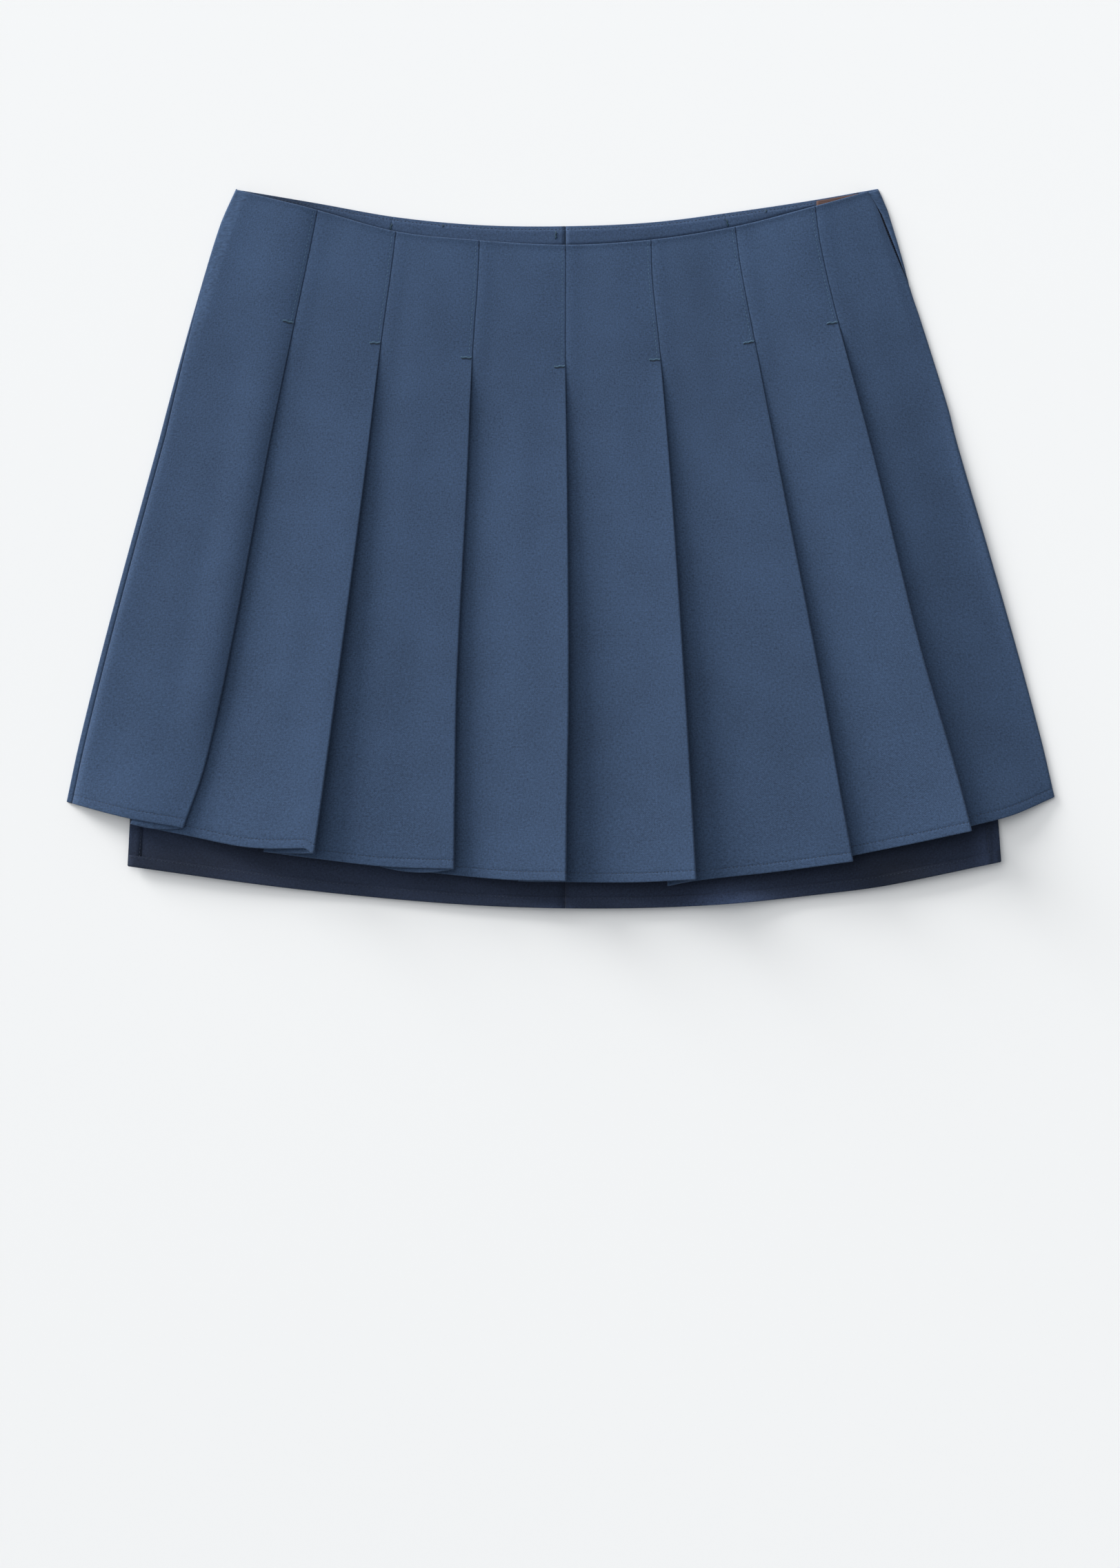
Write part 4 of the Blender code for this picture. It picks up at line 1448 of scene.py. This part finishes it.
class SKIRT_OT_facing(bpy.types.Operator):
    """The two halves of the facing inside the back's waist, with their stitches and tacks"""
    bl_idname = "skirt.facing"
    bl_label = "Waist facing"
    bl_options = {"REGISTER", "UNDO"}

    COLUMNS = 70
    AT_DART = (-1.2, -0.6, -0.25, 0.0, 0.25, 0.6, 1.2)
    ROWS = (*[0.7 * number for number in range(20)], 18.0, 26.0, 35.0, FACING_DEPTH)
    TURN = 3.0                         # depth of its edge that is turned under
    WAVES = (0.3, 1.3, 2.0)            # height of its waves, and how much tighter they are
    WAVES_FULL = 6.0                   # this far down
    SHOWN = (-0.5, 1.8)                # it swells between these, from the front's edge
    SWELL_FULL = 3.0
    DEEP = 0.28                        # of the groove at a dart
    DART_WIDTH = 0.5
    STITCH_DEEP = 0.6                  # of that, in the groove of the stitches
    STITCH_DOWN = 1.4
    STITCH_WIDTH = 0.4
    THREAD_CLEAR = 0.05
    MARK_RADIUS = 2.4                  # as a share of the thread's
    MARK_STEP = 1.2                    # down one leg of the zigzag
    MARK_SWINGS = (-0.35, 0.55)
    MARK_CLEAR = 0.2

    def execute(self, context):
        sizes, colours = context.scene.skirt_sizes, context.scene.skirt_colours
        skirt = form(context)
        material = twill("facing_twill", tuple(colours.lining), sizes.weave, FACING_PAINTED_LIGHT)
        under = cloth_materials(context)[1]
        stitches = bmesh.new()
        marks = bmesh.new()
        for side, name in ((-1, "left"), (1, "right")):
            own_marks = [mark for mark in FACING_MARKS if (mark.x > CENTRE_SEAM) == (side > 0)]
            rows = self.rows(skirt, side, [mark.x for mark in own_marks if mark.dart])
            top = turned_rows(rows, 1, -side, skirt.turn, self.TURN)
            facing = cloth_object(f"facing_{name}", [(list(reversed(top)) + rows, 0)],
                                  skirt.cloth, [material, under], context, flip=side < 0)
            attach(facing, "root")
            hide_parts(f"back_facing_{name}")
            path = row_at(rows, sizes.under_stitch / MM - skirt.inset)
            sew(stitches, path, [UP] * len(path), sizes, skirt.cloth / 2 + self.THREAD_CLEAR)
            for mark in own_marks:
                self.tack(marks, skirt, sizes, rows, mark)
        trim_object("facing_stitches", stitches,
                    thread_material("sewing_thread", colours.thread), context)
        trim_object("facing_tacks", marks,
                    thread_material("mark_thread", colours.mark), context)
        return {"FINISHED"}

    def rows(self, skirt, side, darts):
        """Rows down the facing, with a groove at each dart and under the stitches."""
        centre = CENTRE_SEAM + side * FACING_GAP / 2
        end = line_x(SIDE_EDGES[side], 0.0) - side * FACING_CLEAR[side]
        across = [lerp(centre, end, share) for share in shares(self.COLUMNS)]
        for dart in darts:
            across += [dart + offset for offset in self.AT_DART]
        across.sort(key=lambda x: abs(x - centre))
        wave, tight_x, tight_y = self.WAVES
        rows = []
        for down in self.ROWS:
            spread = line_x(SIDE_EDGES[side], down / DROP) - side * FACING_CLEAR[side] - centre
            spread /= end - centre
            row = []
            for waist_x in across:
                x = centre + (waist_x - centre) * spread
                y = smooth_at(waist_x, BACK_WAIST) - skirt.inset - down
                z = FACING_Z
                z += wave * ease(down, 0.0, self.WAVES_FULL) * uneven(x * tight_x, y * tight_y)
                shown = y - smooth_at(x, FRONT_WAIST)
                z += FACING_SWELL * ease(shown, *self.SHOWN) * ease(down, 0.0, self.SWELL_FULL)
                groove = sum(math.exp(-((waist_x - dart) / self.DART_WIDTH) ** 2)
                             for dart in darts)
                groove += self.STITCH_DEEP * math.exp(
                    -((down - self.STITCH_DOWN) / self.STITCH_WIDTH) ** 2)
                row.append((x, y, z - self.DEEP * groove))
            rows.append(row)
        return rows

    def tack(self, sheet, skirt, sizes, rows, mark):
        """A short zigzag of thread down the facing."""
        radius = sizes.thread / MM / 2 * self.MARK_RADIUS
        column = min(range(len(rows[0])), key=lambda c: abs(rows[0][c][0] - mark.x))
        count = max(round(mark.length / self.MARK_STEP), 2)
        path = []
        for number in range(count + 1):
            x, y, z = row_at(rows, mark.drop + number * mark.length / count)[column]
            path.append((x + self.MARK_SWINGS[number % 2], y,
                         z + skirt.cloth / 2 + self.MARK_CLEAR))
        add_strand(sheet, path, radius)


class SKIRT_OT_zip(bpy.types.Operator):
    """The zip in the right side seam: its tape and the teeth that show in the slit"""
    bl_idname = "skirt.zip"
    bl_label = "Side zip"
    bl_options = {"REGISTER", "UNDO"}

    TAPE_ROWS = 24
    TAPE_COLUMNS = (11.5, 9.0, 7.6, 7.2, 6.8, 5.0, 3.2)  # in from the skirt's outline
    TAPE_WAVE = (0.15, 0.7)            # height, and turn for a millimetre down
    TAPE_CLOTH = 0.4
    TAPE_RIB = 0.0009                  # metres from rib to rib
    TEETH_MARGIN = 1.0                 # from the tape's ends to the first tooth
    TEETH_IN = (5.5, 2.5)              # from the outline to the teeth, at the top and below
    TOOTH = ((-1.2, 0.0, 0.3), (-0.6, 0.1, 0.8), (0.6, -0.1, 0.8), (1.2, 0.0, 0.3))
    TOOTH_RADIUS = 0.28

    def execute(self, context):
        sizes, colours = context.scene.skirt_sizes, context.scene.skirt_colours
        low, high = (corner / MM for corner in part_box("side_zip"))
        wave, turn = self.TAPE_WAVE
        rows = []
        for share in shares(self.TAPE_ROWS):
            y = lerp(high.y, low.y, share)
            edge = self.outline_x(y)
            rows.append([(edge - inward, y, ZIP_Z + wave * math.sin(y * turn + inward))
                         for inward in self.TAPE_COLUMNS])
        teeth = bmesh.new()
        for share in shares(sizes.teeth):
            y = lerp(high.y - self.TEETH_MARGIN, low.y + self.TEETH_MARGIN, share)
            x = self.outline_x(y) - lerp(*self.TEETH_IN, share)
            add_strand(teeth, [(x + right, y + up, ZIP_Z + lift)
                               for right, up, lift in self.TOOTH], self.TOOTH_RADIUS)
        woven = ribbon("zip_tape", tuple(colours.tape), self.TAPE_RIB)
        tape = cloth_object("zip_tape", [(rows, 0)], self.TAPE_CLOTH, [woven, woven], context)
        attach(tape, "root")
        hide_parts("side_zip")
        trim_object("zip_teeth", teeth, woven, context)
        return {"FINISHED"}

    def outline_x(self, y):
        height = (RIGHT_EDGE.waist_y - y) / (RIGHT_EDGE.waist_y - RIGHT_EDGE.hem_y)
        return line_x(RIGHT_EDGE, height)


class SKIRT_OT_label(bpy.types.Operator):
    """The plain woven label inside the back's waist"""
    bl_idname = "skirt.label"
    bl_label = "Label"
    bl_options = {"REGISTER", "UNDO"}

    ROWS = (0.0, 0.6, 1.5, 3.0, 5.0, 8.0, 11.6)
    COLUMNS = 18
    BELOW_EDGE = 0.9
    BEND = (0.25, 7.0)                 # height, and turn over the label's width
    BEND_FULL = 6.0                    # this far down
    CLOTH = 0.35
    RIB = 0.0006                       # metres from rib to rib

    def execute(self, context):
        colours = context.scene.skirt_colours
        low, high = (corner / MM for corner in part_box("waist_label"))
        bend, turn = self.BEND
        rows = []
        for down in self.ROWS:
            row = []
            for share in shares(self.COLUMNS):
                x = lerp(low.x, high.x, share)
                y = smooth_at(x, BACK_WAIST) - self.BELOW_EDGE - down
                lift = bend * math.sin(share * turn) * ease(down, 0.0, self.BEND_FULL)
                row.append((x, y, LABEL_Z + lift))
            rows.append(row)
        woven = ribbon("label_ribbon", tuple(colours.label), self.RIB)
        label = cloth_object("plain_label", [(rows, 0)], self.CLOTH, [woven, woven], context)
        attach(label, "root")
        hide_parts("waist_label")
        return {"FINISHED"}


class SKIRT_OT_stage(bpy.types.Operator):
    """The floor, the lights and the camera straight above"""
    bl_idname = "skirt.stage"
    bl_label = "Stage"
    bl_options = {"REGISTER", "UNDO"}

    PIXEL = 0.42                       # millimetres on the skirt for one pixel of the photo
    IMAGE = (1624, 2274)
    CENTRE = (813.5, 796.7)            # the pixel over the middle of the skirt's box
    SENSOR = 36.0
    FOCUS_HEIGHT = 4.0                 # the height that PIXEL holds at
    FLOOR_HALF = 6.0                   # metres
    FLOOR_DROP = 0.05
    CLIP_END = 20.0                    # metres

    def execute(self, context):
        colours, lights = context.scene.skirt_colours, context.scene.skirt_light
        self.make_floor(context, colours)
        for name in ("key", "low"):
            self.make_sun(context, name, colours.key, lights)
        world = bpy.data.worlds.new("soft_light")
        world.use_nodes = True
        sky = world.node_tree.nodes["Background"]
        sky.inputs["Color"].default_value = (*colours.sky, 1.0)
        sky.inputs["Strength"].default_value = lights.fill
        context.scene.world = world
        context.scene.view_settings.view_transform = "Standard"
        self.make_camera(context, lights)
        return {"FINISHED"}

    def make_floor(self, context, colours):
        sheet = bmesh.new()
        bmesh.ops.create_grid(sheet, x_segments=2, y_segments=2, size=self.FLOOR_HALF / MM)
        floor = smooth_object("floor", sheet, [pale_floor("pale_floor", tuple(colours.floor))],
                              context)
        floor.location.z = -self.FLOOR_DROP * MM

    def make_sun(self, context, name, colour_of, lights):
        """One of the two lights from the upper left, by the names of its properties."""
        sun = bpy.data.objects.new(name, bpy.data.lights.new(name, "SUN"))
        sun.data.energy = getattr(lights, name)
        sun.data.angle = getattr(lights, f"{name}_softness")
        sun.data.color = tuple(colour_of)
        height = getattr(lights, f"{name}_height")
        towards = Vector((math.cos(height) * math.cos(lights.azimuth),
                          math.cos(height) * math.sin(lights.azimuth), math.sin(height)))
        sun.rotation_mode = "QUATERNION"
        sun.rotation_quaternion = towards.to_track_quat("Z", "Y")
        context.scene.collection.objects.link(sun)

    def make_camera(self, context, lights):
        lens = bpy.data.cameras.new("camera")
        lens.lens = lights.lens
        lens.sensor_width = self.SENSOR
        lens.clip_end = self.CLIP_END
        pixel = self.PIXEL * MM
        away = lens.lens / lens.sensor_width * self.IMAGE[1] * pixel
        camera = bpy.data.objects.new("camera", lens)
        camera.location = ((self.IMAGE[0] / 2 - self.CENTRE[0]) * pixel,
                           (self.CENTRE[1] - self.IMAGE[1] / 2) * pixel,
                           away + self.FOCUS_HEIGHT * MM)
        context.scene.collection.objects.link(camera)
        context.scene.camera = camera


class SKIRT_PT_panel(bpy.types.Panel):
    """Lists the pieces and their sizes"""
    bl_idname = "SKIRT_PT_panel"
    bl_label = "Pleated mini skirt"
    bl_space_type = "VIEW_3D"
    bl_region_type = "UI"
    bl_category = "Skirt"

    def draw(self, context):
        for group in (context.scene.skirt_sizes, context.scene.skirt_colours,
                      context.scene.skirt_light):
            box = self.layout.box()
            for name in group.__annotations__:
                box.prop(group, name)
        for operator in OPERATORS:
            self.layout.operator(operator.bl_idname)


GROUPS = {"skirt_sizes": SkirtSizes, "skirt_colours": SkirtColours, "skirt_light": SkirtLight}
OPERATORS = (SKIRT_OT_back, SKIRT_OT_front, SKIRT_OT_facing, SKIRT_OT_zip, SKIRT_OT_label,
             SKIRT_OT_stage)


def register():
    for group in GROUPS.values():
        bpy.utils.register_class(group)
    for name, group in GROUPS.items():
        setattr(bpy.types.Scene, name, PointerProperty(type=group))
    for operator in OPERATORS:
        bpy.utils.register_class(operator)
    bpy.utils.register_class(SKIRT_PT_panel)


def unregister():
    bpy.utils.unregister_class(SKIRT_PT_panel)
    for operator in reversed(OPERATORS):
        bpy.utils.unregister_class(operator)
    for name, group in reversed(GROUPS.items()):
        delattr(bpy.types.Scene, name)
        bpy.utils.unregister_class(group)


def main():
    register()
    bpy.ops.skirt.back()
    bpy.ops.skirt.front()
    bpy.ops.skirt.facing()
    bpy.ops.skirt.zip()
    bpy.ops.skirt.label()
    bpy.ops.skirt.stage()


if __name__ == "__main__":
    main()
